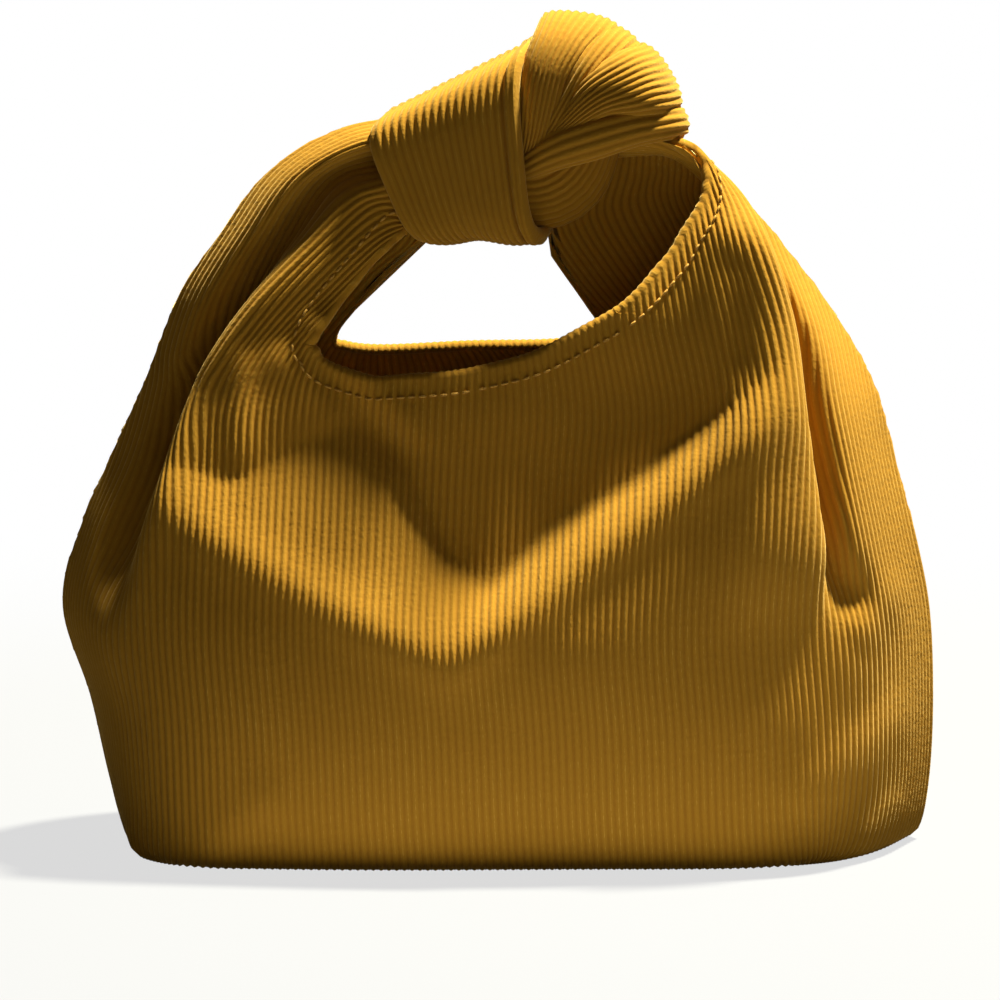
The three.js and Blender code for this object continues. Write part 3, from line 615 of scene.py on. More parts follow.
class Mesh:
    """Collects points in millimetres, faces, cloth coordinates and rib heights into one piece."""

    def __init__(self):
        self.points, self.faces, self.cloth, self.ribs = [], [], [], []
        self.count = 0

    def add_points(self, points, cloth=None, ribs=None):
        shape = points.shape[:-1]
        flat = points.reshape(-1, 3)
        self.points.append(flat)
        no_cloth = flat[:, [0, 2]]
        self.cloth.append(no_cloth if cloth is None else cloth.reshape(-1, 2))
        self.ribs.append(np.full(len(flat), PLAIN_RIB) if ribs is None else ribs.reshape(-1))
        numbers = np.arange(self.count, self.count + len(flat)).reshape(shape)
        self.count += len(flat)
        return numbers

    def add_quads(self, numbers):
        corners = numbers[:-1, :-1], numbers[:-1, 1:], numbers[1:, 1:], numbers[1:, :-1]
        self.faces += np.stack(corners, -1).reshape(-1, 4).tolist()

    def add_shell(self, outer, cloth, ribs, inner, kept_columns, kept_rows, flip=False):
        """A layer of cloth: its ribbed face, a coarser hidden face, and the edges between them."""
        first = len(self.faces)
        face = self.add_points(outer, cloth, ribs)
        hidden = self.add_points(inner[np.ix_(kept_rows, kept_columns)])
        self.add_quads(face)
        self.add_quads(hidden[:, ::-1])
        for i, (a, b) in enumerate(zip(kept_columns, kept_columns[1:])):
            low_edge = face[0, a:b + 1].tolist()
            self.faces.append([*low_edge[::-1], hidden[0, i], hidden[0, i + 1]])
            self.faces.append([*face[-1, a:b + 1].tolist(), hidden[-1, i + 1], hidden[-1, i]])
        ends = [*kept_rows[:-1], len(face) - 1]
        for i, (a, b) in enumerate(zip(ends, ends[1:])):
            far_edge = face[a:b + 1, -1].tolist()
            self.faces.append([*face[a:b + 1, 0].tolist(), hidden[i + 1, 0], hidden[i, 0]])
            self.faces.append([*far_edge[::-1], hidden[i, -1], hidden[i + 1, -1]])
        if flip:
            self.faces[first:] = [corners[::-1] for corners in self.faces[first:]]

    def add_tube(self, rings, cloth=None, ribs=None, looped=False):
        """Rings in order along a tube. A looped tube joins its last ring to its first."""
        numbers = self.add_points(rings, cloth, ribs)
        closed = np.concatenate([numbers, numbers[:, :1]], axis=1)
        if looped:
            closed = np.concatenate([closed, closed[:1]], axis=0)
        self.add_quads(closed)
        if not looped:
            self.faces.append(numbers[0].tolist())
            self.faces.append(numbers[-1].tolist())

    def piece(self, name, material):
        points = np.concatenate(self.points) * MM
        cloth = np.concatenate(self.cloth) * MM
        ribs = np.concatenate(self.ribs)
        data = bpy.data.meshes.new(name)
        data.from_pydata(points.tolist(), [], self.faces)
        layer = data.uv_layers.new(name="cloth")
        used = np.zeros(len(data.loops), np.int32)
        data.loops.foreach_get("vertex_index", used)
        layer.data.foreach_set("uv", cloth[used].astype(np.float32).ravel())
        rib = data.attributes.new("rib", "FLOAT", "POINT")
        rib.data.foreach_set("value", ribs.astype(np.float32))
        data.polygons.foreach_set("use_smooth", np.ones(len(data.polygons), bool))
        work = bmesh.new()
        work.from_mesh(data)
        bmesh.ops.remove_doubles(work, verts=work.verts, dist=WELD_DISTANCE * MM)
        bmesh.ops.dissolve_degenerate(work, edges=work.edges, dist=SLIVER_LENGTH * MM)
        if work.calc_volume(signed=True) < 0:
            bmesh.ops.reverse_faces(work, faces=work.faces)
        work.to_mesh(data)
        work.free()
        data.materials.append(material)
        return place_object(name, data)


def wall_rows(low, high):
    """Shares of the way up a wall, closer where it turns, with a hair's breadth of hem at both ends."""
    if low >= STRAP_LEVEL:
        count = STRAP_ROWS_PER_LEVEL * (high - low)
        rows = np.linspace(0, 1, count + 1)
    else:
        rows = [np.linspace(k, k + 1, n, endpoint=False) for k, n in enumerate(ROWS_PER_LEVEL[:high])]
        rows = np.concatenate([*rows, [high]]) / high
    return np.concatenate([[0.0, HEM_SHARE], rows[1:-1], [1 - HEM_SHARE, 1.0]])


def add_wall(mesh, wall, start, end, levels, phases, layer, seams):
    """Adds one layer of a wall between two cloth lengths and two levels, trimmed along the mouth.

    seams says whether the start and the end lie on the side seams.
    """
    ribs, grooves = wale_columns(start, end, phases)
    low, high = levels
    top, on_rim = wall.rim_top(ribs, low, high)
    rows = wall_rows(low, high)
    v = low + rows[:, None] * (top - low)[None, :]
    u, cut = wall.column(ribs[None, :], v)
    for at_seam, edge in zip(seams, (0, -1)):
        if at_seam:
            u[:, edge] = wall.columns[edge]
    base = wall.points(u, v)
    normal = wall.normals(u, v)
    rib = np.where(cut, 0.0, pile(ribs)[None, :])
    climb = run_length(base)
    cloth = np.stack([np.broadcast_to(ribs, v.shape), climb + LEVEL_CLIMB * low], axis=-1)
    lift = (WALE_HEIGHT * rib)[..., None]
    if layer == "outer":
        pressed = on_rim * (1 - smooth_step(climb[-1] - climb, 0, RIM_FLATTENED))
        lift = lift * (1 - RIM_FLATTENING * pressed)[..., None]
    kept_rows = sorted({*range(0, len(rows), 2), len(rows) - 1})
    if layer == "felt":
        face, hidden = (base - depth * normal for depth in FELT_DEPTH)
        mesh.add_shell(face, cloth, np.full_like(rib, PLAIN_RIB), hidden,
                       list(range(len(ribs))), list(range(len(rows))), wall.outward < 0)
        return
    if layer == "lining":
        inside = LINING_DEPTH - LINING_CLOTH
        mesh.add_shell(base - normal * (LINING_DEPTH + lift), cloth, rib, base - normal * inside,
                       grooves, kept_rows, wall.outward > 0)
        return
    outer = base + normal * lift
    away = np.where(on_rim[:, None], wall.rim_away(u[-1], top), 0.0)
    turn = np.pi * np.arange(1, ROLL_STEPS + 1)[:, None, None] / ROLL_STEPS
    reach = RIM_RADIUS + lift[-1]
    roll = away * reach * np.sin(turn) - normal[-1] * (1 - np.cos(turn)) * reach * on_rim[:, None]
    outer = np.concatenate([outer, outer[-1] + roll])
    rolled = np.zeros((ROLL_STEPS, len(ribs), 2))
    rolled[..., 1] = turn[..., 0] * RIM_RADIUS
    cloth = np.concatenate([cloth, cloth[-1] + rolled])
    rib = np.concatenate([rib, np.broadcast_to(rib[-1], (ROLL_STEPS, len(ribs)))])
    mesh.add_shell(outer, cloth, rib, base - OUTER_CLOTH * normal, grooves, kept_rows, wall.outward < 0)


def seam_line(wall, low, high):
    """Points along the topstitching between two levels of the mouth's edge, with normals."""
    u, v = wall.rim[:, 0], wall.rim[:, 1]
    away = wall.rim_away(u, v)
    du, dv = SLOPE_STEPS
    p = wall.points(u, v)
    across = (wall.points(u + du, v) - p) / du
    upward = (wall.points(u, v - dv) - p) / -dv
    basis = np.stack([across, upward], axis=-1)
    shift = np.stack([np.linalg.lstsq(m, -STITCH_INSET * a, rcond=None)[0] for m, a in zip(basis, away)])
    inner_u, inner_v = u + shift[:, 0], v + shift[:, 1]
    wanted = (v > low) & (v <= high)
    line = wall.points(inner_u, inner_v)
    normal = wall.normals(inner_u, inner_v)
    return line[wanted], normal[wanted]


def add_stitches(mesh, line, normal):
    """Short threads along a line, a little sunk at both ends."""
    run = run_length(line)
    sides = np.arange(STITCH_SIDES) * 2 * np.pi / STITCH_SIDES

    def at(values, place):
        return np.stack([np.interp(place, run, values[:, i]) for i in range(3)], axis=-1)

    place = STITCH_START
    while place + STITCH_LENGTH < run[-1]:
        spots = place + STITCH_LENGTH * STITCH_SHARES
        middle, up = at(line, spots), unit(at(normal, spots))
        ahead = unit(middle[-1:] - middle[:1])
        beside = unit(np.cross(up, ahead))
        up = unit(np.cross(ahead, beside))
        middle = middle + up * (WALE_HEIGHT + STITCH_LIFTS)[:, None]
        ring = np.cos(sides)[None, :, None] * beside[:, None] + np.sin(sides)[None, :, None] * up[:, None]
        mesh.add_tube(middle[:, None] + ring * (STITCH_RADIUS * STITCH_WIDTHS)[:, None, None])
        place += STITCH_PITCH


def rounded(turn, squareness):
    """Cosine and sine of a turn, pushed towards a square."""
    c, s = np.cos(turn), np.sin(turn)
    return np.sign(c) * np.abs(c) ** (2 / squareness), np.sign(s) * np.abs(s) ** (2 / squareness)


def wrap_point(share, turn, lift, beyond):
    """Point on the band of cloth round the knot: share across its width, turn round it from the top."""
    foot = lerp(np.array(WRAP_LEFT_EDGE[0], float), np.array(WRAP_RIGHT_EDGE[0], float), share)
    head = lerp(np.array(WRAP_LEFT_EDGE[1], float), np.array(WRAP_RIGHT_EDGE[1], float), share)
    middle, half = (foot + head) / 2, (head - foot) / 2
    deep = lerp(*WRAP_HALF_DEPTH, share)
    c, s = rounded(turn, WRAP_SQUARENESS)
    rise = (1 + lift / np.linalg.norm(half)) * c
    shift = np.where(s > 0, WRAP_FRONT_SHIFT, WRAP_BACK_SHIFT) * np.abs(s) ** WRAP_SHIFT_POWER
    flat = middle + half * rise[..., None] + WRAP_AXIS * (beyond + shift)[..., None]
    y = -(deep + lift) * s
    return np.stack([flat[..., 0], y, flat[..., 1]], axis=-1)


def wrap_lift(u, width):
    """Height of the band's face at a column: ribs, then a crease and the smoother turned strip."""
    past_crease = u - (width - WRAP_STRIP)
    depth, reach = WRAP_CREASE
    strip = smooth_step(past_crease, 0, reach)
    crease = depth * math.exp(-((past_crease / reach) ** 2))
    return float(WALE_HEIGHT * pile(u) * (1 - RIM_FLATTENING * strip) + WRAP_STRIP_LIFT * strip - crease)


def make_wrap(material):
    """A loop round the knot: its ribbed face, its rolled edges and its plain inside."""
    width = WRAP_WALES * WALE_PITCH
    columns, _ = wale_columns(0, width, FINE_PHASES)
    turns = np.arange(WRAP_SIDES) * 2 * np.pi / WRAP_SIDES
    r = WRAP_EDGE_RADIUS
    bend = np.pi * np.arange(1, ROLL_STEPS) / ROLL_STEPS
    rolls = [(-r * (1 - math.cos(b)), r * math.sin(b), r * b) for b in bend]
    shares = np.linspace(1, 0, WRAP_INNER_RINGS)
    # Share across the band, lift, reach past its edge, rib height and cloth length.
    profile = [(u / width, wrap_lift(u, width), 0.0, float(pile(u)), u) for u in columns]
    profile += [(1.0, lift, out, WRAP_EDGE_RIB, width + run) for lift, out, run in rolls]
    profile += [(share, -2 * r, 0.0, PLAIN_RIB, width * share) for share in shares]
    profile += [(0.0, lift, -out, WRAP_EDGE_RIB, -run) for lift, out, run in rolls[::-1]]
    rings, cloth, ribs = [], [], []
    for share, lift, beyond, rib, u in profile:
        wave = np.sin(WRAP_RIPPLE_WAVES * np.pi * share + WRAP_RIPPLE_SWING * np.sin(turns))
        ripple = WRAP_RIPPLE_HEIGHT * wave * np.sin(turns / 2) ** 2
        rings.append(wrap_point(share, turns, lift + ripple, beyond))
        cloth.append(np.stack([np.full_like(turns, u), turns * WRAP_CLOTH_RADIUS], axis=-1))
        ribs.append(np.full_like(turns, rib))
    mesh = Mesh()
    mesh.add_tube(np.array(rings), np.array(cloth), np.array(ribs), looped=True)
    return mesh.piece("knot_wrap_band", material)


def make_ribbed_tube(name, ring_at, steps, material):
    """A closed lobe of cloth with ribs along it. ring_at(share, turns) gives points round it."""
    fine = np.linspace(0, 2 * np.pi, TUBE_TURNS)
    run = run_length(ring_at(TUBE_WIDEST, fine))
    ribs_round = round(run[-1] / WALE_PITCH)
    u = np.array([i + phase for i in range(ribs_round) for phase in FINE_PHASES]) * WALE_PITCH
    turns = np.interp(u / (ribs_round * WALE_PITCH) * run[-1], run, fine)
    shares = np.linspace(0, 1, steps)
    rings = np.array([ring_at(s, turns) for s in shares])
    following = np.roll(rings, -1, axis=1)
    ahead = np.gradient(rings, axis=0)
    normal = unit(np.cross(following - np.roll(rings, 1, axis=1), ahead))
    centre = rings.mean(axis=1, keepdims=True)
    outward = np.sign(np.sum(normal * (rings - centre), axis=-1, keepdims=True))
    fade = smooth_step(np.minimum(shares, 1 - shares), 0, TUBE_END_FADE)[:, None, None]
    rings = rings + normal * outward * fade * (WALE_HEIGHT * pile(u))[None, :, None]
    cloth = np.stack(np.broadcast_arrays(u[None, :], TUBE_CLOTH * shares[:, None]), axis=-1)
    ribs = np.broadcast_to(pile(u), rings.shape[:2])
    mesh = Mesh()
    mesh.add_tube(rings, cloth, ribs)
    return mesh.piece(name, material)


def station(table, share):
    """Values at a share of the way along a table of stations, and the run of its line there."""
    around = (share, max(share - STATION_STEP, 0), min(share + STATION_STEP, 1))
    here, before, after = spline_weights(np.linspace(0, 1, len(table)), around) @ table
    return here, (after - before)[:3]


def band_ring(stations, tilt):
    """A puffed band of cloth along stations of (x, y, z, half width, half thickness)."""
    table = np.asarray(stations, float)
    spread = np.array((math.cos(math.radians(tilt)), 0.0, math.sin(math.radians(tilt))))

    def ring_at(share, turns):
        here, run = station(table, share)
        across = unit(spread - unit(run) * np.dot(spread, unit(run)))
        out = unit(np.cross(across, run))
        c, s = rounded(turns, FOLD_SQUARENESS)
        return here[:3] + across * here[3] * c[..., None] + out * here[4] * s[..., None]
    return ring_at


def core_ring(line, heights, depths):
    """A thick strand along a line, with half heights and half depths along it and rounded ends."""
    table = np.column_stack([line, heights, depths])
    forward = np.array((0.0, -1.0, 0.0))

    def ring_at(share, turns):
        here, run = station(table, share)
        up = unit(np.cross(run, forward))
        end = max(abs(share - 0.5) * 2 - CORE_STRAIGHT, 0) / (1 - CORE_STRAIGHT)
        round_off = max(math.sqrt(max(1 - end**2, 0)), CORE_TIP)
        c, s = rounded(turns, FOLD_SQUARENESS)
        section = up * here[3] * c[..., None] + forward * here[4] * s[..., None]
        return here[:3] + round_off * section
    return ring_at


def srgb(red, green, blue):
    def linear(value):
        value = value / 255
        return value / 12.92 if value <= 0.04045 else ((value + 0.055) / 1.055) ** 2.4
    return linear(red), linear(green), linear(blue), 1.0


CLOTH_SPECULAR = 0.2
SHEEN_ROUGHNESS = 0.4


class Shader:
    """Adds and links nodes of one material or world."""

    def __init__(self, owner):
        owner.use_nodes = True
        self.owner = owner
        self.tree = owner.node_tree
        self.tree.nodes.clear()

    def node(self, kind, inputs=None, **settings):
        """A node whose inputs are values or other nodes' outputs."""
        made = self.tree.nodes.new(kind)
        for key, value in settings.items():
            setattr(made, key, value)
        for key, value in (inputs or {}).items():
            if isinstance(value, bpy.types.NodeSocket):
                self.tree.links.new(value, made.inputs[key])
            else:
                made.inputs[key].default_value = value
        return made

    def noise(self, vector, scale, detail, stretch=(1.0, 1.0, 1.0)):
        shaped = self.node("ShaderNodeMapping", {"Vector": vector, "Scale": stretch}).outputs["Vector"]
        made = self.node("ShaderNodeTexNoise", {"Vector": shaped, "Scale": scale, "Detail": detail})
        return made.outputs["Fac"]

    def math(self, operation, *values):
        return self.node("ShaderNodeMath", dict(enumerate(values)), operation=operation).outputs[0]

    def ramp(self, factor, stops):
        made = self.node("ShaderNodeValToRGB", {"Fac": factor})
        while len(made.color_ramp.elements) < len(stops):
            made.color_ramp.elements.new(0.5)
        for element, (place, colour) in zip(made.color_ramp.elements, stops):
            element.position = place
            element.color = colour
        return made.outputs["Color"]

    def seen(self):
        """1 for rays that show the background: to the camera, in a mirror or through glass."""
        path = self.node("ShaderNodeLightPath")
        direct = self.math("MAXIMUM", path.outputs["Is Camera Ray"], path.outputs["Is Glossy Ray"])
        return self.math("MAXIMUM", direct, path.outputs["Is Transmission Ray"])

    def finish(self, colour, height, bump, roughness, sheen=0.0, tint=(1, 1, 1, 1)):
        bumped = self.node("ShaderNodeBump", {"Strength": 1.0, "Distance": bump * MM, "Height": height})
        shade = self.node("ShaderNodeBsdfPrincipled", {
            "Base Color": colour, "Roughness": roughness, "Specular IOR Level": CLOTH_SPECULAR,
            "Sheen Weight": sheen, "Sheen Roughness": SHEEN_ROUGHNESS, "Sheen Tint": tint,
            "Normal": bumped.outputs["Normal"],
        })
        self.node("ShaderNodeOutputMaterial", {"Surface": shade.outputs["BSDF"]})
        return self.owner


# Corduroy: share of its colour's shift that comes from the ribs, which paints shade in the grooves and a
# highlight on the tops, and from noise of three sizes.
RIB_SHADE = 0.86
FIBRE_SHADE = 0.34
TUFT_SHADE = 0.30
PATCH_SHADE = 0.36


def corduroy(name, groove, body, top):
    """Cut-pile ribs: painted shade in the grooves, a painted highlight on the rib tops, brushed patches and
    short fibres.
    """
    s = Shader(bpy.data.materials.new(name))
    uv = s.node("ShaderNodeUVMap", uv_map="cloth").outputs["UV"]
    rib = s.node("ShaderNodeAttribute", attribute_name="rib").outputs["Fac"]
    fibres = s.noise(uv, scale=1500, detail=2.0, stretch=(1.0, 0.45, 1.0))
    tufts = s.noise(uv, scale=420, detail=3.0, stretch=(0.5, 1.0, 1.0))
    patches = s.noise(uv, scale=28, detail=3.0)
    height = s.math("MULTIPLY", rib, RIB_SHADE)
    for noise, amount in ((fibres, FIBRE_SHADE), (tufts, TUFT_SHADE), (patches, PATCH_SHADE)):
        height = s.math("MULTIPLY_ADD", noise, amount, s.math("SUBTRACT", height, amount / 2))
    # The groove colour is painted shade in the grooves, and the top colour a painted highlight on the rib
    # tops.
    colour = s.ramp(height, ((0.0, groove), (0.45, body), (0.8, body), (1.0, top)))
    bumps = s.math("ADD", s.math("MULTIPLY", fibres, 0.6), s.math("MULTIPLY", tufts, 0.5))
    return s.finish(colour, bumps, bump=0.28, roughness=0.92, sheen=0.5, tint=srgb(255, 222, 138))


def fibre_cloth(name, dark, light, scale, detail, stretch, **surface):
    """Felted or twisted fibres in two shades."""
    s = Shader(bpy.data.materials.new(name))
    place = s.node("ShaderNodeTexCoord").outputs["Object"]
    height = s.noise(place, scale, detail, stretch)
    return s.finish(s.ramp(height, ((0.3, dark), (0.7, light))), height, **surface)


# From groove to top: the darker groove colour is painted shade, and the lighter top colour a painted
# highlight.
CORDUROY = corduroy("mustard_corduroy", srgb(158, 109, 22), srgb(170, 121, 27), srgb(198, 151, 54))
# The lining is the same cloth painted lighter throughout: painted light on the bag's inner faces.
LINING_PAINTED_LIGHTER = corduroy("mustard_corduroy_lining_painted_lighter", srgb(168, 118, 28), srgb(192, 140, 37), srgb(226, 184, 86))
FELT = fibre_cloth("interlining_fleece", srgb(196, 182, 150), srgb(222, 210, 184), scale=900, detail=4.0,
                   stretch=(1.0, 1.0, 1.0), bump=0.2, roughness=0.95)
THREAD = fibre_cloth("mustard_thread", srgb(158, 110, 30), srgb(206, 158, 66), scale=2600, detail=2.0,
                     stretch=(1.0, 1.0, 0.4), bump=0.08, roughness=0.6, sheen=0.2,
                     tint=srgb(255, 226, 150))


def dress(piece, slot, nodes, body=None, blend=None):
    """Hides the imported parts that a piece stands for, and hangs the piece from a body's empty or, given a
    blend, only bakes its place into its points. slot is not used.
    """
    if nodes:
        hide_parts(*nodes)
    if blend:
        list(blend)
        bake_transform(piece)
    else:
        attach(piece, body)


# The front wall is made in two halves that meet in the groove of a rib. Each half is given the bag and the
# front wall's own body with points across its middle, and the straps the bag and the handle with points
# from below the line that they bend along to above it; these blends are not applied here.
FRONT_SPLIT = 63 * WALE_PITCH
MOUTH_BLENDS = {
    "left": ("bag", "front_wall", (-57 * MM, 0, 0), (-20 * MM, 0, 0)),
    "right": ("bag", "front_wall", (39 * MM, 0, 0), (2 * MM, 0, 0)),
}
STRAP_BEND_POINT = np.array((-6.5, 0, 168))
STRAP_BEND_UP = np.array((-0.14446, 0, 0.98951))
STRAP_BEND_FROM = -3
STRAP_BEND_TO = 18
STRAP_BLEND = (
    "bag", "handle",
    tuple((STRAP_BEND_POINT + STRAP_BEND_FROM * STRAP_BEND_UP) * MM),
    tuple((STRAP_BEND_POINT + STRAP_BEND_TO * STRAP_BEND_UP) * MM),
)

WALL_LEVELS = (0, STRAP_LEVEL)
STRAP_LEVELS = (STRAP_LEVEL, KNOT_LEVEL)
NET_WIDTH = FRONT_COLUMNS[-1]
# Column at which the front rim's stitching is parted.
STITCH_SPLIT_COLUMN = 152
# Cloth at each side seam that the fleece leaves free.
SEAM_ALLOWANCE = 7
SIDES = (("left", False), ("right", True))


def make_wall(name, wall, layer, phases, material, half=None):
    """One layer of a wall, or of one half of it. The fleece ends below the straps."""
    low, high = WALL_LEVELS
    margin = 0
    if layer == "felt":
        margin, high = SEAM_ALLOWANCE, STRAP_LEVEL - 1
    panel = wall.cloth[:STRAP_LEVEL + 1]
    mesh = Mesh()
    start, end = panel[:, 0].min() + margin, panel[:, -1].max() - margin
    start = FRONT_SPLIT if half == "right" else start
    end = FRONT_SPLIT if half == "left" else end
    seams = (margin == 0 and half != "right", margin == 0 and half != "left")
    add_wall(mesh, wall, start, end, (low, high), phases, layer, seams)
    return mesh.piece(name, material)


def make_strap(name, layer, right, material):
    """One layer of a strap, in front and behind."""
    mesh = Mesh()
    for wall in (front, back):
        edge = wall.rim_cloth(STRAP_LEVEL, right)
        strap = wall.cloth[STRAP_LEVEL:]
        ends = (edge, strap[:, -1].max()) if right else (strap[:, 0].min(), edge)
        add_wall(mesh, wall, *ends, STRAP_LEVELS, FINE_PHASES, layer, (not right, right))
    return mesh.piece(name, material)


def make_stitches(name, lines, material):
    mesh = Mesh()
    for line, normal in lines:
        add_stitches(mesh, line, normal)
    return mesh.piece(name, material)


# Layers of a wall: piece, layer, detail of its ribs, material, finish and the node it stands for.
WALL_LAYERS = (
    ("panel", "outer", FINE_PHASES, CORDUROY, "corduroy", "outer_{}_panel"),
    ("fleece", "felt", FELT_PHASES, FELT, "interlining_fleece", "{}_interlining"),
    ("lining", "lining", PLAIN_PHASES, LINING_PAINTED_LIGHTER, "lining_corduroy", "lining_{}_panel"),
)
for half, mouth_blend in MOUTH_BLENDS.items():
    for name, layer, phases, material, slot, node in WALL_LAYERS:
        sheet = make_wall(f"front_{name}_{half}", front, layer, phases, material, half)
        dress(sheet, slot, [node.format("front")], blend=mouth_blend)
for name, layer, phases, material, slot, node in WALL_LAYERS:
    sheet = make_wall(f"back_{name}", back, layer, phases, material)
    dress(sheet, slot, [node.format("back")], body="bag")
for side, is_right in SIDES:
    dress(make_strap(f"{side}_strap_cloth", "outer", is_right, CORDUROY), "corduroy",
          [f"{side}_strap", f"{side}_strap_fold"], blend=STRAP_BLEND)
    dress(make_strap(f"{side}_strap_inside", "lining", is_right, LINING_PAINTED_LIGHTER), "lining_corduroy",
          [f"{side}_strap_lining", f"{side}_strap_fold_lining"], blend=STRAP_BLEND)


def strap_seam(wall, right):
    """The part of a wall's topstitching that runs up one strap."""
    line, normal = seam_line(wall, STRAP_LEVEL, STITCH_TOP)
    on_right = line[:, 0] > 0
    chosen = on_right if right else ~on_right
    return line[chosen], normal[chosen]


rim_line, rim_normal = seam_line(front, 0, STRAP_LEVEL)
on_left = rim_line[:, 0] < front.points(STITCH_SPLIT_COLUMN, STRAP_LEVEL - 1)[0]
for half, chosen in (("left", on_left), ("right", ~on_left)):
    stitches = make_stitches(f"front_rim_stitches_{half}", [(rim_line[chosen], rim_normal[chosen])], THREAD)
    dress(stitches, "thread", ["front_rim_stitching"], blend=MOUTH_BLENDS[half])
dress(make_stitches("back_rim_stitches", [seam_line(back, 0, STRAP_LEVEL)], THREAD), "thread",
      ["back_rim_stitching"], body="bag")
for side, is_right in SIDES:
    lines = [strap_seam(wall, is_right) for wall in (front, back)]
    dress(make_stitches(f"{side}_strap_stitches", lines, THREAD), "thread", [], blend=STRAP_BLEND)


BASE_OUTLINE_POINTS = 400
BASE_ROWS = 13
BASE_LEAST_DEPTH = 0.5


def make_base(name, ribbed, plain, inset, material):
    """The flat bottom, its ribs from front to back. ribbed and plain are the heights of its two faces."""
    places = np.linspace(0, NET_WIDTH, BASE_OUTLINE_POINTS)
    outline_front = front.points(places, 0.0)
    outline_back = back.points(places, 0.0)
    start = max(outline_front[:, 0].min(), outline_back[:, 0].min()) + inset
    end = min(outline_front[:, 0].max(), outline_back[:, 0].max()) - inset
    columns, grooves = wale_columns(start, end, PLAIN_PHASES)
    near = np.interp(columns, outline_front[:, 0], outline_front[:, 1]) + inset
    far = np.interp(columns, outline_back[:, 0], outline_back[:, 1]) - inset
    far = np.maximum(far, near + BASE_LEAST_DEPTH)
    rows = np.linspace(0, 1, BASE_ROWS)
    y = near + rows[:, None] * (far - near)
    x = np.broadcast_to(columns, y.shape)
    rib = np.broadcast_to(pile(columns), y.shape)
    toward = 1 if plain > ribbed else -1
    face = np.stack([x, y, ribbed + toward * WALE_HEIGHT * (1 - rib)], axis=-1)
    hidden = np.stack([x, y, np.full_like(y, plain)], axis=-1)
    mesh = Mesh()
    mesh.add_shell(face, np.stack([x, y], axis=-1), rib, hidden, grooves, list(range(len(rows))))
    return mesh.piece(name, material)


bottom = make_base("bottom_panel", ribbed=0.0, plain=1.7, inset=0.4, material=CORDUROY)
dress(bottom, "corduroy", ["base_panel"], body="bag")
bottom = make_base("bottom_lining", ribbed=4.3, plain=2.4, inset=5.0, material=LINING_PAINTED_LIGHTER)
dress(bottom, "lining_corduroy", ["base_lining"], body="bag")

CORE = core_ring(CORE_LINE, CORE_HALF_HEIGHTS, CORE_HALF_DEPTHS)
dress(make_ribbed_tube("knot_core", CORE, CORE_STEPS, CORDUROY), "corduroy", ["knot_strand"], body="handle")
dress(make_wrap(CORDUROY), "corduroy", ["knot_wrap"], body="knot_wrap")
for name, nodes, tilt, stations in FOLDS:
    fold = make_ribbed_tube(name, band_ring(stations, tilt), FOLD_STEPS, CORDUROY)
    dress(fold, "corduroy", nodes, body="handle")


FLOOR_REACH = 8.0
FLOOR_COLOUR = 0.08
FLOOR_GLOW = 0.7
# Past these distances from the middle the floor goes over to plain white.
SHADOW_REACH = (0.2, 0.5)


def floor_material():
    """Pale floor that keeps the shadow near the bag and is plain white farther out."""
    s = Shader(bpy.data.materials.new("floor"))
    seen = s.seen()
    pale = s.node("ShaderNodeBsdfDiffuse", {"Color": (FLOOR_COLOUR, FLOOR_COLOUR, FLOOR_COLOUR, 1)})
    glow = s.node("ShaderNodeEmission", {"Strength": s.math("MULTIPLY", seen, FLOOR_GLOW)})
    near = s.node("ShaderNodeAddShader", {0: pale.outputs[0], 1: glow.outputs[0]})
    white = s.node("ShaderNodeEmission")
    place = s.node("ShaderNodeNewGeometry").outputs["Position"]
    length = s.node("ShaderNodeVectorMath", {0: place}, operation="LENGTH").outputs["Value"]
    reach = {"Value": length, "From Min": SHADOW_REACH[0], "From Max": SHADOW_REACH[1]}
    away = s.node("ShaderNodeMapRange", reach, interpolation_type="SMOOTHSTEP").outputs["Result"]
    far = s.math("MULTIPLY", away, seen)
    both = s.node("ShaderNodeMixShader", {0: far, 1: near.outputs[0], 2: white.outputs[0]})
    s.node("ShaderNodeOutputMaterial", {"Surface": both.outputs[0]})
    return s.owner


floor_data = bpy.data.meshes.new("floor")
floor_corners = [(FLOOR_REACH * x, FLOOR_REACH * y, 0.0) for x, y in ((-1, -1), (1, -1), (1, 1), (-1, 1))]
floor_data.from_pydata(floor_corners, [], [(0, 1, 2, 3)])
floor_data.materials.append(floor_material())
floor = place_object("floor", floor_data)


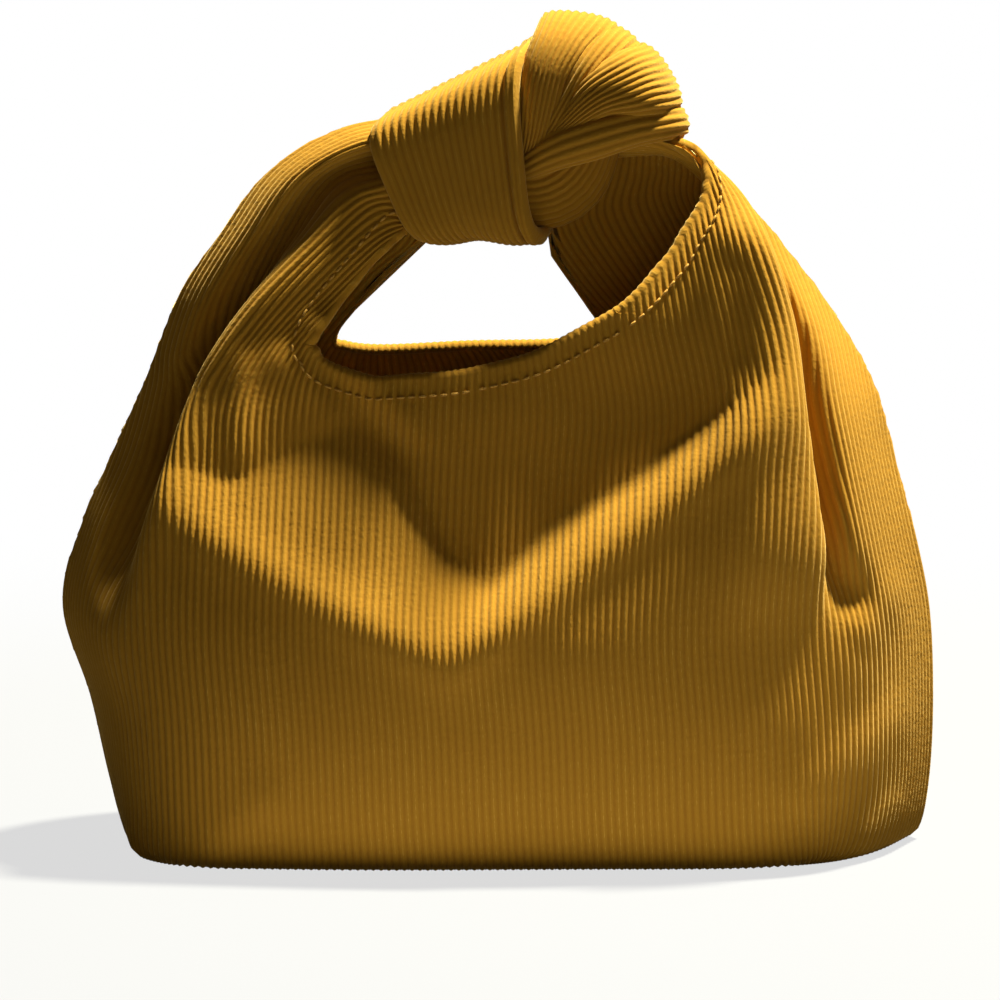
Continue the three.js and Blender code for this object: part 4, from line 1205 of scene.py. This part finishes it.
def area_light(name, place, aim, size, power, colour):
    data = bpy.data.lights.new(name, "AREA")
    data.shape = "DISK"
    data.size = size
    data.energy = power
    data.color = colour
    made = place_object(name, data)
    made.location = place
    made.rotation_euler = (Vector(aim) - Vector(place)).to_track_quat("-Z", "Y").to_euler()
    return made


# A high key from the right, a weak fill from the front, and what a bright floor before the bag gives back.
SOFT_WHITE = (1.0, 0.98, 0.95)
BOUNCE_DEPTH = 0.148
area_light("key", place=(0.65, 0.22, 1.95), aim=(0, 0, 0.1), size=0.2, power=160, colour=(1.0, 0.99, 0.84))
area_light("fill", place=(0.3, -1.85, 0.35), aim=(0, 0, 0.08), size=1.0, power=1.25, colour=SOFT_WHITE)
bounce = area_light("bounce", place=(0.085, -0.126, 0.003), aim=(0.085, -0.126, 1.0), size=0.36, power=0.17,
                    colour=SOFT_WHITE)
bounce.data.shape = "RECTANGLE"
bounce.data.size_y = BOUNCE_DEPTH
bounce.visible_camera = False

# The world is white where it is seen, and lights the bag only a little.
AMBIENT = 0.015
world = Shader(bpy.data.worlds.new("studio"))
strength = world.math("MULTIPLY_ADD", world.seen(), 1 - AMBIENT, AMBIENT)
sky = world.node("ShaderNodeBackground", {"Color": (1, 1, 1, 1), "Strength": strength})
world.node("ShaderNodeOutputWorld", {"Surface": sky.outputs["Background"]})
bpy.context.scene.world = world.owner

CAMERA_AIM = Vector((0.75, 0, 105)) * MM
CAMERA_DISTANCE = 2.4
CAMERA_ELEVATION = math.radians(11)
CAMERA_SENSOR = 36
CAMERA_LENS = 288
camera_data = bpy.data.cameras.new("camera")
camera_data.sensor_width = CAMERA_SENSOR
camera_data.lens = CAMERA_LENS
camera = place_object("camera", camera_data)
backward = Vector((0, -math.cos(CAMERA_ELEVATION), math.sin(CAMERA_ELEVATION)))
camera.location = CAMERA_AIM + CAMERA_DISTANCE * backward
camera.rotation_euler = (-backward).to_track_quat("-Z", "Y").to_euler()
bpy.context.scene.camera = camera
bpy.context.scene.view_settings.view_transform = "Standard"

bpy.context.view_layer.update()
